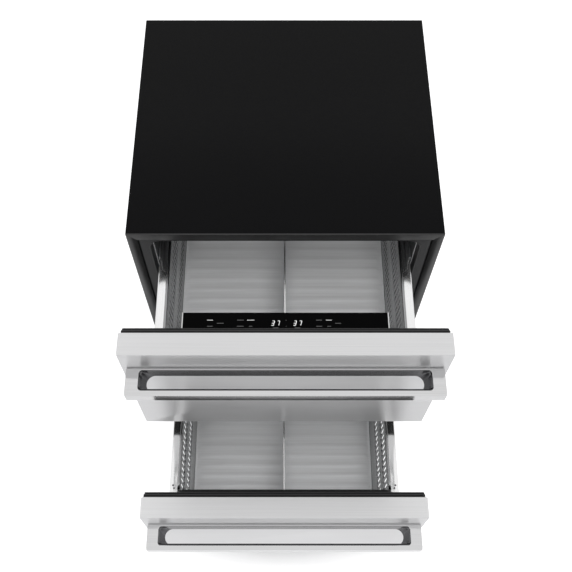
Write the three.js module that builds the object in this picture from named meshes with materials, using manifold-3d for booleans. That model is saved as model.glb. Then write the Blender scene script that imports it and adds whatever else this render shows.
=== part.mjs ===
import * as THREE from 'three';
import { mergeVertices } from 'three/addons/utils/BufferGeometryUtils.js';
import Module from 'manifold-3d';

// Undercounter refrigerator with two drawers, shown with both drawers partly open.
// Millimetres. +X is the right of someone who stands before it, +Y runs to the back and +Z is up.
// Below, y = 0 is the front plane of the cabinet and z = 0 is the floor. The last lines centre
// the finished object over its own footprint.

// ---- Fits ----
const seatGap = 0.3; // between pieces that rest on or bear against each other
const slideGap = 0.5; // between the nested members of a ball slide

// ---- Cabinet shell ----
const cabinetWidth = 606;
const cabinetDepth = 546;
const cabinetTop = 875;
const wrapperSheet = 1;
const flangeWidth = 20; // folded return round the front of the wrapper
const backSheet = 1;
const backInsulation = 44;
const floorInsulation = 32;
const linerSheet = 1.5;

// ---- Mouth of the cold space ----
const breakerSideWidth = 29;
const breakerTopWidth = 12;
const breakerBottomWidth = 28;
const breakerRecess = 1.5;
const breakerDepth = 10.5;
const breakerShadowGap = 2;
const openingRadius = 18;
const mullionHeight = 50;
const mullionDepth = 42;
const mullionSheet = 1.5;
const partitionThickness = 25;

// ---- Toe space, base and legs ----
const toeHeight = 82; // floor to the underside of the lower front
const toeRecess = 55;
const baseHeight = 26; // floor to the underside of the base pan
const baseSheet = 2;
const baseFlange = 22;
const grilleSheet = 3;
const grilleFloorGap = 8;
const grilleSlotHeight = 5;
const grilleSlotLength = 82;
const grilleRib = 8;
const legInset = 38;
const legFrontInset = 30; // behind the toe grille
const legRadius = 5;
const legPadRadius = 20;
const legPadHeight = 8;
const legStudLength = 44;
const legBossWall = 4;
const legBossHeight = 10;

// ---- Machine space, low at the back ----
const machineDepth = 168;
const machineTop = 262;
const humpInsulation = 30;
const coverInset = 5;
const machineGap = 10; // in front of and behind the condenser, its fan and its tray
const coverOverlap = 22; // how far the rear sheet reaches down past the machine space's roof
const louvreHeight = 6;
const louvreLength = 110;
const louvrePitch = 18;
const louvreColumns = 3;
const louvreColumnGap = 30;
const louvreRows = 6;
const louvreTopGap = 21; // from the cover's top edge to the first louvre
const compressorRadius = 66;
const compressorHeight = 148;
const compressorInset = 152; // from the wrapper's inner face to the shell's axis
const compressorDome = 23; // radius of the shell's rounded ends
const compressorSeamRise = 66; // from the shell's foot to its welded seam
const compressorSeam = 3;
const compressorFootHeight = 12;
const compressorFootRadius = 9;
const compressorPlate = 3;
const condenserWidth = 44;
const condenserHeight = 150;
const condenserInset = 60; // from the wrapper's inner face, clear of the leg
const condenserFins = 7;
const fanRadius = 62;
const fanClearance = 3;
const fanHubRadius = 18;
const fanHubDepth = 22;
const fanBlades = 5;
const fanBladeSheet = 1.6;
const fanBladeShare = 0.62; // of the circle that the blades cover
const fanBladePitch = 24; // degrees
const fanArmWidth = 9;
const fanMotorRadius = 16;
const shroudSheet = 2;
const shroudFoot = 12;
const shroudGap = 16; // between the condenser and its fan's shroud
const trayHeight = 18;
const trayWall = 2;
const pipeRadius = 3.5;
const pipeBend = 18;
const stubSpread = 40; // between the two pipes on top of the compressor
const glandRadius = 8;
const glandFlange = 3;
const glandBarrel = 12; // how far the bushing reaches in behind the cover

// ---- Evaporator, upright on the back wall of the upper compartment ----
const evaporatorWidth = 330;
const evaporatorHeight = 130;
const evaporatorDepth = 28;
const evaporatorFins = 9;
const finSheet = 0.8;
const tubeRadius = 4;
const tubePasses = 3;
const evaporatorCoverSheet = 2;
const evaporatorCoverDepth = 41;
const evaporatorSideGap = 40;
const evaporatorFanRadius = 45;
const returnSlotPitch = 26;
const returnSlotWidth = 10;
const returnSlotHeight = 60;
const evaporatorFanDrop = 75; // from the cover's top to the fan's axis
const lightLength = 240;
const lightDepth = 22;
const lightHeight = 5;
const lightSetback = 85;

// ---- Drawer fronts ----
const topReveal = 22; // cabinet top to the top of the upper front
const frontGap = 3;
const frontThickness = 43.5;
const skinSheet = 1.2;
const frontLinerSheet = 2;
const plugInset = 28; // from the front's edge to the raised part of its liner, up and down
const plugSideGap = 1;
const plugDepth = 24;
const plugDraft = 6;
const gasketDepth = 12;
const gasketWidth = 18;
const gasketStep = 3;

// ---- Handles ----
const handleLength = 587.5;
const handleReach = 53.7;
const handleHeight = 28;
const handleDrop = 58.4; // from the front's top edge to the handle's top face
const handleBackPlate = 6;
const handleBar = 13.5; // from the bar's front face to the finger opening
const handlePost = 24.5; // from each end of the handle to the finger opening
const handleChamfer = 5;
const handleGrip = 5; // round on the edge of the bar that the fingers pull
const handleRim = 1; // round on the other edges of the finger opening
const handleEyeRadius = 6; // corners of the finger opening at its top
const handleScoop = 11; // how much further in its ends reach at the bottom

// ---- Drawer slides and rails ----
const railWidth = 17;
const railSideGap = 4; // from the opening to the outer face of the rail
const railSheet = 1.2;
const railLip = 6;
const railSkirt = 50;
const railTabWidth = 15;
const railTabHeight = 46;
const upperRailDrop = 76; // from the front's top edge to the rail's top face
const lowerRailDrop = 49;
const slideSheet = 1.6;
const slideHeight = 44;
const slideFlange = 9;
const slideDrop = 10; // from the rail's top face to the slide
const slideSetback = 12;
const slideRearGap = 16.5; // from the slides' rear ends to the evaporator's cover
const slideShelf = 4;
const upperOpening = 180; // how far each drawer stands open
const lowerOpening = 388;

// ---- Bins ----
const binSheet = 1.2;
const binTaper = 6; // how far each side wall leans in at its foot
const binFrontGap = 4;
const binRearGap = 18;
const binRim = 4;
const binFoot = 12;
const upperBinRise = 60; // from the mullion's top to the bin's floor
const lowerBinRise = 11; // from the cold space's floor to the bin's floor
const binEndDrop = 20; // from the rail's top face to the end walls' top edges
const floorRibPitch = 12.7;
const floorRibHeight = 1.2;
const floorRibWidth = 4;
const slotPitch = 12.7;
const slotWidth = 5.5;
const slotHeight = 39;
const slotRowDrop = 65; // from the rim to the middle of the first row
const slotRowPitch = 100;
const slotMargin = 20;
const dividerThickness = 2.5;
const dividerDrop = 8;

// ---- Control in the top of the upper front ----
const controlWidth = 381;
const controlDepth = 34;
const controlDrop = 13; // from the front's top edge to the glass
const controlHeight = 40;
const controlGlass = 3;
const controlWall = 2;
const controlBezel = 2;
const controlBezelSheet = 1;
const controlBoard = 1.6;

// ---- Places worked out from the sizes above ----
const halfWidth = cabinetWidth / 2;
const innerHalf = halfWidth - wrapperSheet;
const openingHalf = halfWidth - flangeWidth - breakerSideWidth;
const openingTop = cabinetTop - flangeWidth - breakerTopWidth;
const openingBottom = toeHeight + breakerBottomWidth;
const foamFront = breakerRecess + breakerDepth + seatGap;
const foamBottom = openingBottom - linerSheet - floorInsulation;
const backInner = cabinetDepth - backSheet;
const cavityRear = backInner - backInsulation - linerSheet;
const machineFront = backInner - machineDepth;
const humpFront = machineFront - humpInsulation - linerSheet;
const humpTop = machineTop + humpInsulation + linerSheet;
const baseTop = baseHeight + baseSheet;
const frontHeight = (cabinetTop - topReveal - toeHeight - frontGap) / 2;
const mullionMiddle = toeHeight + frontHeight + frontGap / 2;
const mullionTop = mullionMiddle + mullionHeight / 2;
const coverFace = cavityRear - evaporatorCoverDepth;
const slideLength = coverFace - slideRearGap - slideSetback;
const closedSetback = gasketDepth + 2 * seatGap; // front's back face to the cabinet's front plane
const railOuter = openingHalf - railSideGap;
const railInner = railOuter - railWidth;
const plugHalf = railInner - plugSideGap;
const binHalf = railInner - seatGap;
const machineCoverY = cabinetDepth - coverInset;

const drawers = [
  {
    name: 'upper',
    frontBottom: toeHeight + frontHeight + frontGap,
    opening: upperOpening,
    railDrop: upperRailDrop,
    binFloor: mullionTop + upperBinRise,
    binRear: coverFace - binRearGap,
  },
  {
    name: 'lower',
    frontBottom: toeHeight,
    opening: lowerOpening,
    railDrop: lowerRailDrop,
    binFloor: openingBottom + lowerBinRise,
    binRear: humpFront - binRearGap,
  },
];
for (const drawer of drawers) {
  drawer.frontTop = drawer.frontBottom + frontHeight;
  drawer.railTop = drawer.frontTop - drawer.railDrop;
}

// ---- Colours ----
const finishes = {
  wrapper: [0x1a1a1a, 0.6, 0.2],
  darkPlastic: [0x2c2c2c, 0.6, 0],
  blackPlastic: [0x121212, 0.5, 0],
  rubber: [0x181818, 0.8, 0],
  liner: [0x3a3c3e, 0.4, 0.3],
  foam: [0xd9c98f, 0.9, 0],
  zinc: [0x9aa0a3, 0.45, 0.8],
  stainless: [0xc4c5c7, 0.3, 1],
  polished: [0xdadbdc, 0.15, 1],
  rail: [0xdcdcdc, 0.35, 0.6],
  binSteel: [0x7b7d80, 0.3, 0.9],
  glass: [0x050506, 0.08, 0],
  board: [0x14532d, 0.6, 0],
  copper: [0xb87048, 0.35, 0.9],
  aluminium: [0xb9bcbf, 0.4, 0.9],
  machineBlack: [0x141414, 0.5, 0.3],
  light: [0xf2f2ea, 0.4, 0],
};

// ---- Solids ----
const wasm = await Module();
wasm.setup();

function solidOf(geometry) {
  const bare = geometry.clone();
  bare.deleteAttribute('normal');
  bare.deleteAttribute('uv');
  const merged = mergeVertices(bare, 1e-4);
  const vertProperties = new Float32Array(merged.attributes.position.array);
  const triVerts = new Uint32Array(merged.index.array);
  return new wasm.Manifold(new wasm.Mesh({ numProp: 3, vertProperties, triVerts }));
}

function geometryOf(solid) {
  const mesh = solid.getMesh();
  const geometry = new THREE.BufferGeometry();
  geometry.setAttribute('position', new THREE.BufferAttribute(mesh.vertProperties, 3));
  geometry.setIndex(new THREE.BufferAttribute(mesh.triVerts, 1));
  geometry.computeVertexNormals();
  return geometry;
}

const join = (solids) => solids.reduce((whole, next) => whole.add(next));
const cut = (solid, tools) => tools.reduce((rest, tool) => rest.subtract(tool), solid);

// A box between two values on each axis.
function block([x0, x1], [y0, y1], [z0, z1]) {
  const box = new THREE.BoxGeometry(x1 - x0, y1 - y0, z1 - z0);
  return solidOf(box.translate((x0 + x1) / 2, (y0 + y1) / 2, (z0 + z1) / 2));
}

// A block whose faces square to Y differ: the far one is drawn in by the draft on all four sides.
function draftedBlock([x0, x1], [y0, y1], [z0, z1], draft) {
  const box = new THREE.BoxGeometry(x1 - x0, y1 - y0, z1 - z0);
  box.translate((x0 + x1) / 2, (y0 + y1) / 2, (z0 + z1) / 2);
  const places = box.attributes.position;
  const middleY = (y0 + y1) / 2;
  for (let i = 0; i < places.count; i += 1) {
    if (places.getY(i) > middleY) {
      places.setX(i, places.getX(i) - draft * Math.sign(places.getX(i) - (x0 + x1) / 2));
      places.setZ(i, places.getZ(i) - draft * Math.sign(places.getZ(i) - (z0 + z1) / 2));
    }
  }
  return solidOf(box);
}

const outline = (points) => new THREE.Shape(points.map(([u, v]) => new THREE.Vector2(u, v)));

function roundedOutline([u0, u1], [v0, v1], radius) {
  const shape = new THREE.Shape();
  shape.moveTo(u0 + radius, v0);
  shape.lineTo(u1 - radius, v0);
  shape.absarc(u1 - radius, v0 + radius, radius, -Math.PI / 2, 0);
  shape.lineTo(u1, v1 - radius);
  shape.absarc(u1 - radius, v1 - radius, radius, 0, Math.PI / 2);
  shape.lineTo(u0 + radius, v1);
  shape.absarc(u0 + radius, v1 - radius, radius, Math.PI / 2, Math.PI);
  shape.lineTo(u0, v0 + radius);
  shape.absarc(u0 + radius, v0 + radius, radius, Math.PI, Math.PI * 1.5);
  return shape;
}

const axisX = new THREE.Vector3(1, 0, 0);
const axisY = new THREE.Vector3(0, 1, 0);
const axisZ = new THREE.Vector3(0, 0, 1);
const arcSteps = 4;

function extruded(shape, depth, basis, place) {
  const options = { depth, bevelEnabled: false, curveSegments: arcSteps };
  const geometry = new THREE.ExtrudeGeometry(shape, options);
  geometry.applyMatrix4(new THREE.Matrix4().makeBasis(...basis));
  return geometry.translate(...place);
}

// An outline of (y, z) points run along X, one of (x, z) run along Y, and one of (x, y) along Z.
const alongX = (shape, [x0, x1]) => (
  solidOf(extruded(shape, x1 - x0, [axisY, axisZ, axisX], [x0, 0, 0]))
);
const alongY = (shape, [y0, y1]) => (
  solidOf(extruded(shape, y1 - y0, [axisX, axisZ, axisY.clone().negate()], [0, y1, 0]))
);
const alongZ = (shape, [z0, z1]) => (
  solidOf(extruded(shape, z1 - z0, [axisX, axisY, axisZ], [0, 0, z0]))
);

// A turned body from (radius, height) points, its axis along Y, X or Z through a place.
function turned(points, axis, place, sides = 20) {
  const profile = points.map(([r, h]) => new THREE.Vector2(r, h));
  const geometry = new THREE.LatheGeometry(profile, sides);
  if (axis === 'x') geometry.rotateZ(-Math.PI / 2);
  if (axis === 'z') geometry.rotateX(Math.PI / 2);
  return solidOf(geometry.translate(...place));
}

const rod = (radius, [from, to], axis, place, sides = 20) => (
  turned([[0, from], [radius, from], [radius, to], [0, to]], axis, place, sides)
);

// A round tube along straight runs that meet in bends.
function tube(points, radius, bend, steps) {
  const sides = 6;
  const corners = points.map((point) => new THREE.Vector3(...point));
  const path = new THREE.CurvePath();
  let from = corners[0];
  for (let i = 1; i < corners.length - 1; i += 1) {
    const back = corners[i - 1].clone().sub(corners[i]).setLength(bend).add(corners[i]);
    const onward = corners[i + 1].clone().sub(corners[i]).setLength(bend).add(corners[i]);
    path.add(new THREE.LineCurve3(from, back));
    path.add(new THREE.QuadraticBezierCurve3(back, corners[i], onward));
    from = onward;
  }
  path.add(new THREE.LineCurve3(from, corners[corners.length - 1]));
  const section = new THREE.Shape();
  for (let i = 0; i < sides; i += 1) {
    const angle = (2 * Math.PI * i) / sides;
    const point = [radius * Math.cos(angle), radius * Math.sin(angle)];
    if (i === 0) section.moveTo(...point);
    else section.lineTo(...point);
  }
  section.closePath();
  return solidOf(new THREE.ExtrudeGeometry(section, { steps, extrudePath: path }));
}

// A solid through matched convex loops of points, from the lowest up, each anticlockwise from above.
function lofted(loops) {
  const sides = loops[0].length;
  const top = (loops.length - 1) * sides;
  const index = [];
  for (let i = 0; i < top; i += 1) {
    const next = i - (i % sides) + ((i + 1) % sides);
    index.push(i, next, i + sides, next, next + sides, i + sides);
  }
  for (let i = 1; i < sides - 1; i += 1) {
    index.push(0, i + 1, i, top, top + i, top + i + 1);
  }
  const geometry = new THREE.BufferGeometry();
  const positions = loops.flat(2);
  geometry.setAttribute('position', new THREE.Float32BufferAttribute(positions, 3));
  geometry.setIndex(index);
  return solidOf(geometry);
}

const product = new THREE.Group();

function piece(name, solid, finish, parent = product) {
  const [color, roughness, metalness] = finishes[finish];
  const material = new THREE.MeshStandardMaterial({ color, roughness, metalness });
  const mesh = new THREE.Mesh(geometryOf(solid), material);
  mesh.name = name;
  parent.add(mesh);
}

// ---- Cabinet ----

// One folded sheet: a roof, two sides notched for the toe space, and the return flange in front.
function cabinetWrapper() {
  const whole = block([-halfWidth, halfWidth], [0, cabinetDepth], [baseHeight, cabinetTop]);
  const inside = block(
    [-innerHalf, innerHalf],
    [wrapperSheet, cabinetDepth + 1],
    [0, cabinetTop - wrapperSheet],
  );
  const mouth = block(
    [-halfWidth + flangeWidth, halfWidth - flangeWidth],
    [-1, wrapperSheet + 1],
    [0, cabinetTop - flangeWidth],
  );
  const toeSpace = block([-cabinetWidth, cabinetWidth], [-1, toeRecess], [0, toeHeight - frontGap]);
  return cut(whole, [inside, mouth, toeSpace]);
}

// Frame round the mouth, with a rounded hole that the liner's mouth continues.
function breakerFrame() {
  const outerHalf = halfWidth - flangeWidth - breakerShadowGap;
  const shape = outline([
    [-outerHalf, toeHeight],
    [outerHalf, toeHeight],
    [outerHalf, cabinetTop - flangeWidth - breakerShadowGap],
    [-outerHalf, cabinetTop - flangeWidth - breakerShadowGap],
  ]);
  shape.holes.push(mouthOutline(0));
  return alongY(shape, [breakerRecess, breakerRecess + breakerDepth]);
}

function mouthOutline(grow) {
  const across = openingHalf + grow;
  const up = [openingBottom - grow, openingTop + grow];
  return roundedOutline([-across, across], up, openingRadius + grow);
}

// The cold space as a solid, grown outwards, with the hump over the machine space taken off.
function coldSpace(grow, front) {
  const whole = alongY(mouthOutline(grow), [front, cavityRear + grow]);
  const wide = openingHalf + 2 * openingRadius;
  const hump = block([-wide, wide], [humpFront + grow, cabinetDepth], [0, humpTop - grow]);
  return whole.subtract(hump);
}

function innerLiner() {
  const shell = coldSpace(linerSheet, foamFront).subtract(coldSpace(0, foamFront - 1));
  return cut(shell, [suctionLine(pipeRadius + seatGap)]);
}

function cabinetFoam() {
  const half = innerHalf - seatGap;
  const body = block([-half, half], [foamFront, backInner - seatGap], [
    foamBottom,
    cabinetTop - wrapperSheet - seatGap,
  ]);
  const machine = block([-halfWidth, halfWidth], [machineFront, cabinetDepth], [0, machineTop]);
  return cut(body, [
    machine,
    coldSpace(linerSheet + seatGap, foamFront - 1),
    suctionLine(pipeRadius + seatGap),
  ]);
}

// Folded beam across the mouth, open to the back, that both gaskets close on.
function centreMullion() {
  const low = mullionMiddle - mullionHeight / 2;
  const channel = outline([
    [breakerRecess, low],
    [mullionDepth, low],
    [mullionDepth, low + mullionSheet],
    [breakerRecess + mullionSheet, low + mullionSheet],
    [breakerRecess + mullionSheet, mullionTop - mullionSheet],
    [mullionDepth, mullionTop - mullionSheet],
    [mullionDepth, mullionTop],
    [breakerRecess, mullionTop],
  ]);
  return alongX(channel, [-openingHalf + seatGap, openingHalf - seatGap]);
}

// Foamed panel whose tongue enters the mullion's channel.
function compartmentPartition() {
  const panel = [mullionMiddle - partitionThickness / 2, mullionMiddle + partitionThickness / 2];
  const tongueHalf = mullionHeight / 2 - mullionSheet - seatGap;
  const tongue = [mullionMiddle - tongueHalf, mullionMiddle + tongueHalf];
  const across = [-openingHalf + seatGap, openingHalf - seatGap];
  return join([
    block(across, [breakerRecess + mullionSheet + seatGap, mullionDepth], tongue),
    block(across, [mullionDepth / 2, coverFace - seatGap], panel),
  ]);
}

// Rear sheet, above the machine space's cover.
function backPanel() {
  const half = innerHalf - seatGap;
  const low = machineTop - coverOverlap;
  const high = cabinetTop - wrapperSheet - seatGap;
  return block([-half, half], [backInner, cabinetDepth], [low, high]);
}

function legPlaces() {
  const x = innerHalf - legInset;
  const front = toeRecess + legFrontInset;
  const back = cabinetDepth - legInset;
  return [
    { name: 'front_left', x: -x, y: front },
    { name: 'front_right', x, y: front },
    { name: 'rear_left', x: -x, y: back },
    { name: 'rear_right', x, y: back },
  ];
}

// Pan with flanges turned up at the sides and the front, and a threaded boss for each leg.
function basePan() {
  const half = innerHalf - seatGap;
  const front = toeRecess + grilleSheet + seatGap;
  const up = [baseHeight, baseTop + baseFlange];
  const deep = [front, machineCoverY - backSheet - seatGap];
  const legs = legPlaces();
  const bossRadius = legRadius + seatGap + legBossWall;
  const pan = block([-half, half], deep, up).subtract(block(
    [-half + baseSheet, half - baseSheet],
    [front + baseSheet, cabinetDepth],
    [baseTop, up[1] + 1],
  ));
  const bosses = legs.map(({ x, y }) => (
    rod(bossRadius, [baseTop - 1, baseTop + legBossHeight], 'z', [x, y, 0], 12)
  ));
  const bores = legs.map(({ x, y }) => (
    rod(legRadius + seatGap, [0, baseTop + legBossHeight + 1], 'z', [x, y, 0], 12)
  ));
  return cut(join([pan, ...bosses]), bores);
}

function levellingLeg({ x, y }) {
  const padTaper = legPadHeight / 2;
  return turned([
    [0, 0],
    [legPadRadius, 0],
    [legPadRadius, padTaper],
    [legRadius * 2, legPadHeight],
    [legRadius, legPadHeight],
    [legRadius, legPadHeight + legStudLength],
    [0, legPadHeight + legStudLength],
  ], 'z', [x, y, 0], 12);
}

// Panel in the toe space with rows of air slots.
function toeGrille() {
  const half = innerHalf - seatGap;
  const low = grilleFloorGap;
  const high = foamBottom - seatGap;
  const panel = block([-half, half], [toeRecess, toeRecess + grilleSheet], [low, high]);
  const pitch = grilleSlotLength + grilleRib;
  const columns = Math.floor((2 * half - grilleRib) / pitch);
  const rows = Math.floor((high - low - grilleRib) / (grilleSlotHeight + grilleRib));
  const slots = [];
  for (let row = 0; row < rows; row += 1) {
    for (let column = 0; column < columns; column += 1) {
      const x = (column - (columns - 1) / 2) * pitch;
      const z = low + grilleRib + row * (grilleSlotHeight + grilleRib);
      slots.push(block(
        [x - grilleSlotLength / 2, x + grilleSlotLength / 2],
        [toeRecess - 1, toeRecess + grilleSheet + 1],
        [z, z + grilleSlotHeight],
      ));
    }
  }
  return cut(panel, [join(slots)]);
}

// Louvred cover of the machine space, set in a little from the back.
function machineCover() {
  const half = innerHalf - seatGap;
  const low = baseTop + seatGap;
  const high = machineTop - coverOverlap - seatGap;
  const panel = block([-half, half], [machineCoverY - backSheet, machineCoverY], [low, high]);
  const louvres = [];
  for (let row = 0; row < louvreRows; row += 1) {
    for (let column = 0; column < louvreColumns; column += 1) {
      const x = (column - (louvreColumns - 1) / 2) * (louvreLength + louvreColumnGap);
      const z = high - louvreTopGap - louvreHeight - louvrePitch * row;
      louvres.push(block(
        [x - louvreLength / 2, x + louvreLength / 2],
        [machineCoverY - backSheet - 1, machineCoverY + 1],
        [z, z + louvreHeight],
      ));
    }
  }
  const { x, z } = glandPlace();
  const hole = rod(glandRadius + seatGap, [-backSheet - 1, 1], 'y', [x, machineCoverY, z]);
  return cut(panel, [join(louvres), hole]);
}

const glandPlace = () => ({ x: -innerHalf + legInset, z: baseTop + baseFlange + glandRadius * 2 });

// Bushing of the supply cord, with a flange outside the machine cover.
function cordGland() {
  const { x, z } = glandPlace();
  const bore = glandRadius / 2;
  return turned([
    [bore, -glandBarrel],
    [glandRadius, -glandBarrel],
    [glandRadius, seatGap],
    [glandRadius + glandFlange, seatGap],
    [glandRadius + glandFlange, seatGap + glandFlange],
    [bore, seatGap + glandFlange],
    [bore, -glandBarrel],
  ], 'y', [x, machineCoverY, z], 12);
}

// ---- Machine ----

const compressorX = innerHalf - compressorInset;
const compressorY = (machineFront + backInner) / 2;
const compressorBase = baseTop + seatGap;
const compressorTop = compressorBase + compressorFootHeight + compressorHeight + seatGap;

// Hermetic shell with a welded seam, on a plate with four grommets.
function compressor() {
  const low = compressorBase + compressorFootHeight;
  const seam = low + compressorSeamRise;
  const dome = compressorDome;
  const high = low + compressorHeight;
  const profile = [[0, low], [compressorRadius - dome, low]];
  const ring = 3;
  for (let i = 1; i <= ring; i += 1) {
    const angle = (Math.PI / 2) * (i / ring);
    profile.push([
      compressorRadius - dome + dome * Math.sin(angle),
      low + dome - dome * Math.cos(angle),
    ]);
  }
  profile.push([compressorRadius, seam - compressorSeam]);
  profile.push([compressorRadius + compressorSeam, seam]);
  profile.push([compressorRadius, seam + compressorSeam]);
  for (let i = 0; i <= ring; i += 1) {
    const angle = (Math.PI / 2) * (i / ring);
    profile.push([
      compressorRadius - dome + dome * Math.cos(angle),
      high - dome + dome * Math.sin(angle),
    ]);
  }
  profile.push([0, high]);
  const shell = turned(profile, 'z', [compressorX, compressorY, 0], 18);
  const reachX = compressorRadius + compressorFootRadius;
  const reachY = compressorRadius - compressorFootRadius;
  const plate = block(
    [compressorX - reachX - compressorFootRadius, compressorX + reachX + compressorFootRadius],
    [compressorY - reachY - compressorFootRadius, compressorY + reachY + compressorFootRadius],
    [low, low + compressorPlate],
  );
  const feet = [];
  for (const x of [compressorX - reachX, compressorX + reachX]) {
    for (const y of [compressorY - reachY, compressorY + reachY]) {
      feet.push(rod(compressorFootRadius, [compressorBase, low + 1], 'z', [x, y, 0], 12));
    }
  }
  return join([shell, plate, ...feet]);
}

// Fins on a serpentine of straight passes and end bends. The passes run along X, the fins stand
// square to them, and the coil's middle is the origin.
function finnedCoil(width, height, depth, fins) {
  const pass = (width - height / tubePasses) / 2;
  const stepZ = height / tubePasses;
  const solids = [];
  for (let i = 0; i < fins; i += 1) {
    const x = ((i + 0.5) / fins - 0.5) * 2 * pass;
    const sheet = [x - finSheet / 2, x + finSheet / 2];
    solids.push(block(sheet, [-depth / 2, depth / 2], [-height / 2, height / 2]));
  }
  for (let i = 0; i < tubePasses; i += 1) {
    const z = (i + 0.5 - tubePasses / 2) * stepZ;
    solids.push(rod(tubeRadius, [-pass, pass], 'x', [0, 0, z], 6));
  }
  for (let i = 0; i < tubePasses - 1; i += 1) {
    const z = (i + 1 - tubePasses / 2) * stepZ;
    const side = i % 2 === 0 ? 1 : -1;
    const bend = new THREE.TorusGeometry(stepZ / 2, tubeRadius, 6, 10);
    bend.rotateX(Math.PI / 2);
    bend.translate(side * pass, 0, z);
    const inner = side > 0 ? [-width, pass - 1] : [-pass + 1, width];
    solids.push(solidOf(bend).subtract(block(inner, [-depth, depth], [-height, height])));
  }
  return join(solids);
}

const condenserX = -innerHalf + condenserInset + condenserWidth / 2;
const condenserZ = baseTop + seatGap + trayHeight + condenserHeight / 2;

function condenserCoil() {
  const length = machineDepth - 2 * machineGap;
  const coil = finnedCoil(length, condenserHeight, condenserWidth, condenserFins);
  return coil.rotate([0, 0, 90]).translate([condenserX, compressorY, condenserZ]);
}

// Tray that catches and dries off the melt water, under the condenser.
function drainTray() {
  const across = [condenserX - condenserWidth / 2, condenserX + condenserWidth / 2];
  const deep = [machineFront + machineGap, machineCoverY - machineGap];
  const up = [baseTop + seatGap, baseTop + trayHeight];
  return block(across, deep, up).subtract(block(
    [across[0] + trayWall, across[1] - trayWall],
    [deep[0] + trayWall, deep[1] - trayWall],
    [up[0] + trayWall, up[1] + 1],
  ));
}

const shroudX = condenserX + condenserWidth / 2 + shroudGap;

// Fan plate with a round mouth, three arms and the motor in the middle.
function fanPlate(size, radius, sheet, motorDepth) {
  const mouth = radius + fanClearance;
  const plate = outline([[-size, -size], [size, -size], [size, size], [-size, size]]);
  const hole = new THREE.Path();
  hole.absarc(0, 0, mouth, 0, Math.PI * 2);
  plate.holes.push(hole);
  const options = { depth: sheet, bevelEnabled: false, curveSegments: 20 };
  const solids = [solidOf(new THREE.ExtrudeGeometry(plate, options))];
  const arm = [-fanArmWidth / 2, fanArmWidth / 2];
  for (let i = 0; i < 3; i += 1) {
    const strip = block([0, mouth + sheet], arm, [-motorDepth, -motorDepth + sheet]);
    const post = block([mouth, mouth + sheet * 2], arm, [-motorDepth, sheet]);
    solids.push(strip.add(post).rotate([0, 0, 90 + i * 120]));
  }
  const motor = [-motorDepth - fanHubDepth / 2, -motorDepth + sheet];
  solids.push(rod(fanMotorRadius, motor, 'z', [0, 0, 0]));
  return join(solids);
}

// Hub with pitched blades, its axis along Z and its back face at the origin.
function fanRotor(radius) {
  const solids = [rod(fanHubRadius, [0, fanHubDepth], 'z', [0, 0, 0])];
  const root = fanHubRadius - 2 * fanBladeSheet;
  for (let i = 0; i < fanBlades; i += 1) {
    const blade = new THREE.Shape();
    const half = (Math.PI / fanBlades) * fanBladeShare;
    blade.absarc(0, 0, radius, -half, half);
    blade.absarc(0, 0, root, half, -half, true);
    blade.closePath();
    const options = { depth: fanBladeSheet, bevelEnabled: false, curveSegments: 4 };
    const geometry = new THREE.ExtrudeGeometry(blade, options);
    geometry.translate(0, 0, -fanBladeSheet / 2);
    geometry.rotateX(THREE.MathUtils.degToRad(fanBladePitch));
    geometry.translate(0, 0, fanHubDepth / 2);
    geometry.rotateZ((i * 2 * Math.PI) / fanBlades);
    solids.push(solidOf(geometry));
  }
  const whole = join(solids);
  return whole.intersect(rod(radius, [-fanHubDepth, 2 * fanHubDepth], 'z', [0, 0, 0], 32));
}

const condenserFanZ = condenserZ;

function condenserFanShroud() {
  const size = machineDepth / 2 - machineGap;
  const plate = fanPlate(size, fanRadius, shroudSheet, fanHubDepth + slideGap);
  const turnedPlate = plate.rotate([0, -90, 0]).translate([shroudX, compressorY, condenserFanZ]);
  const deep = [compressorY - size, compressorY + size];
  const seat = baseTop + seatGap;
  return join([
    turnedPlate,
    block([shroudX - shroudSheet, shroudX], deep, [seat, condenserFanZ - size + 1]),
    block([shroudX - shroudSheet, shroudX + shroudFoot], deep, [seat, seat + shroudSheet]),
  ]);
}

function condenserFanRotor() {
  const rotor = fanRotor(fanRadius).translate([0, 0, -fanHubDepth]);
  return rotor.rotate([0, -90, 0]).translate([shroudX - shroudSheet, compressorY, condenserFanZ]);
}

// Discharge pipe from the top of the compressor to the head of the condenser.
function dischargePipe() {
  const x = compressorX - stubSpread / 2;
  const coilTop = condenserZ + condenserHeight / 2 + seatGap;
  const rise = Math.max(compressorTop, coilTop) + 2 * pipeBend;
  return tube([
    [x, compressorY, compressorTop],
    [x, compressorY, rise],
    [condenserX, compressorY, rise],
    [condenserX, compressorY, coilTop],
  ], pipeRadius, pipeBend, 28);
}

// Suction line, from the evaporator out through the back wall and down to the compressor.
function suctionLine(radius) {
  const x = compressorX + stubSpread / 2;
  const wall = (cavityRear + backInner) / 2;
  const low = compressorTop + 2 * pipeBend;
  const high = evaporatorBottom() + evaporatorHeight / 2;
  const head = cavityRear - seatGap;
  return tube([
    [x, compressorY, compressorTop],
    [x, compressorY, low],
    [x, wall, low],
    [x, wall, high],
    [x, head, high],
  ], radius, pipeBend, 28);
}

// ---- Evaporator ----

const evaporatorBottom = () => humpTop + evaporatorSideGap / 2;

function evaporatorCoil() {
  const coil = finnedCoil(evaporatorWidth, evaporatorHeight, evaporatorDepth, evaporatorFins);
  const y = cavityRear - seatGap - evaporatorDepth / 2;
  return coil.translate([0, y, evaporatorBottom() + evaporatorHeight / 2]);
}

const evaporatorFanZ = openingTop - evaporatorFanDrop;
const evaporatorFanPlace = [0, coverFace + evaporatorCoverSheet, evaporatorFanZ];

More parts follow.
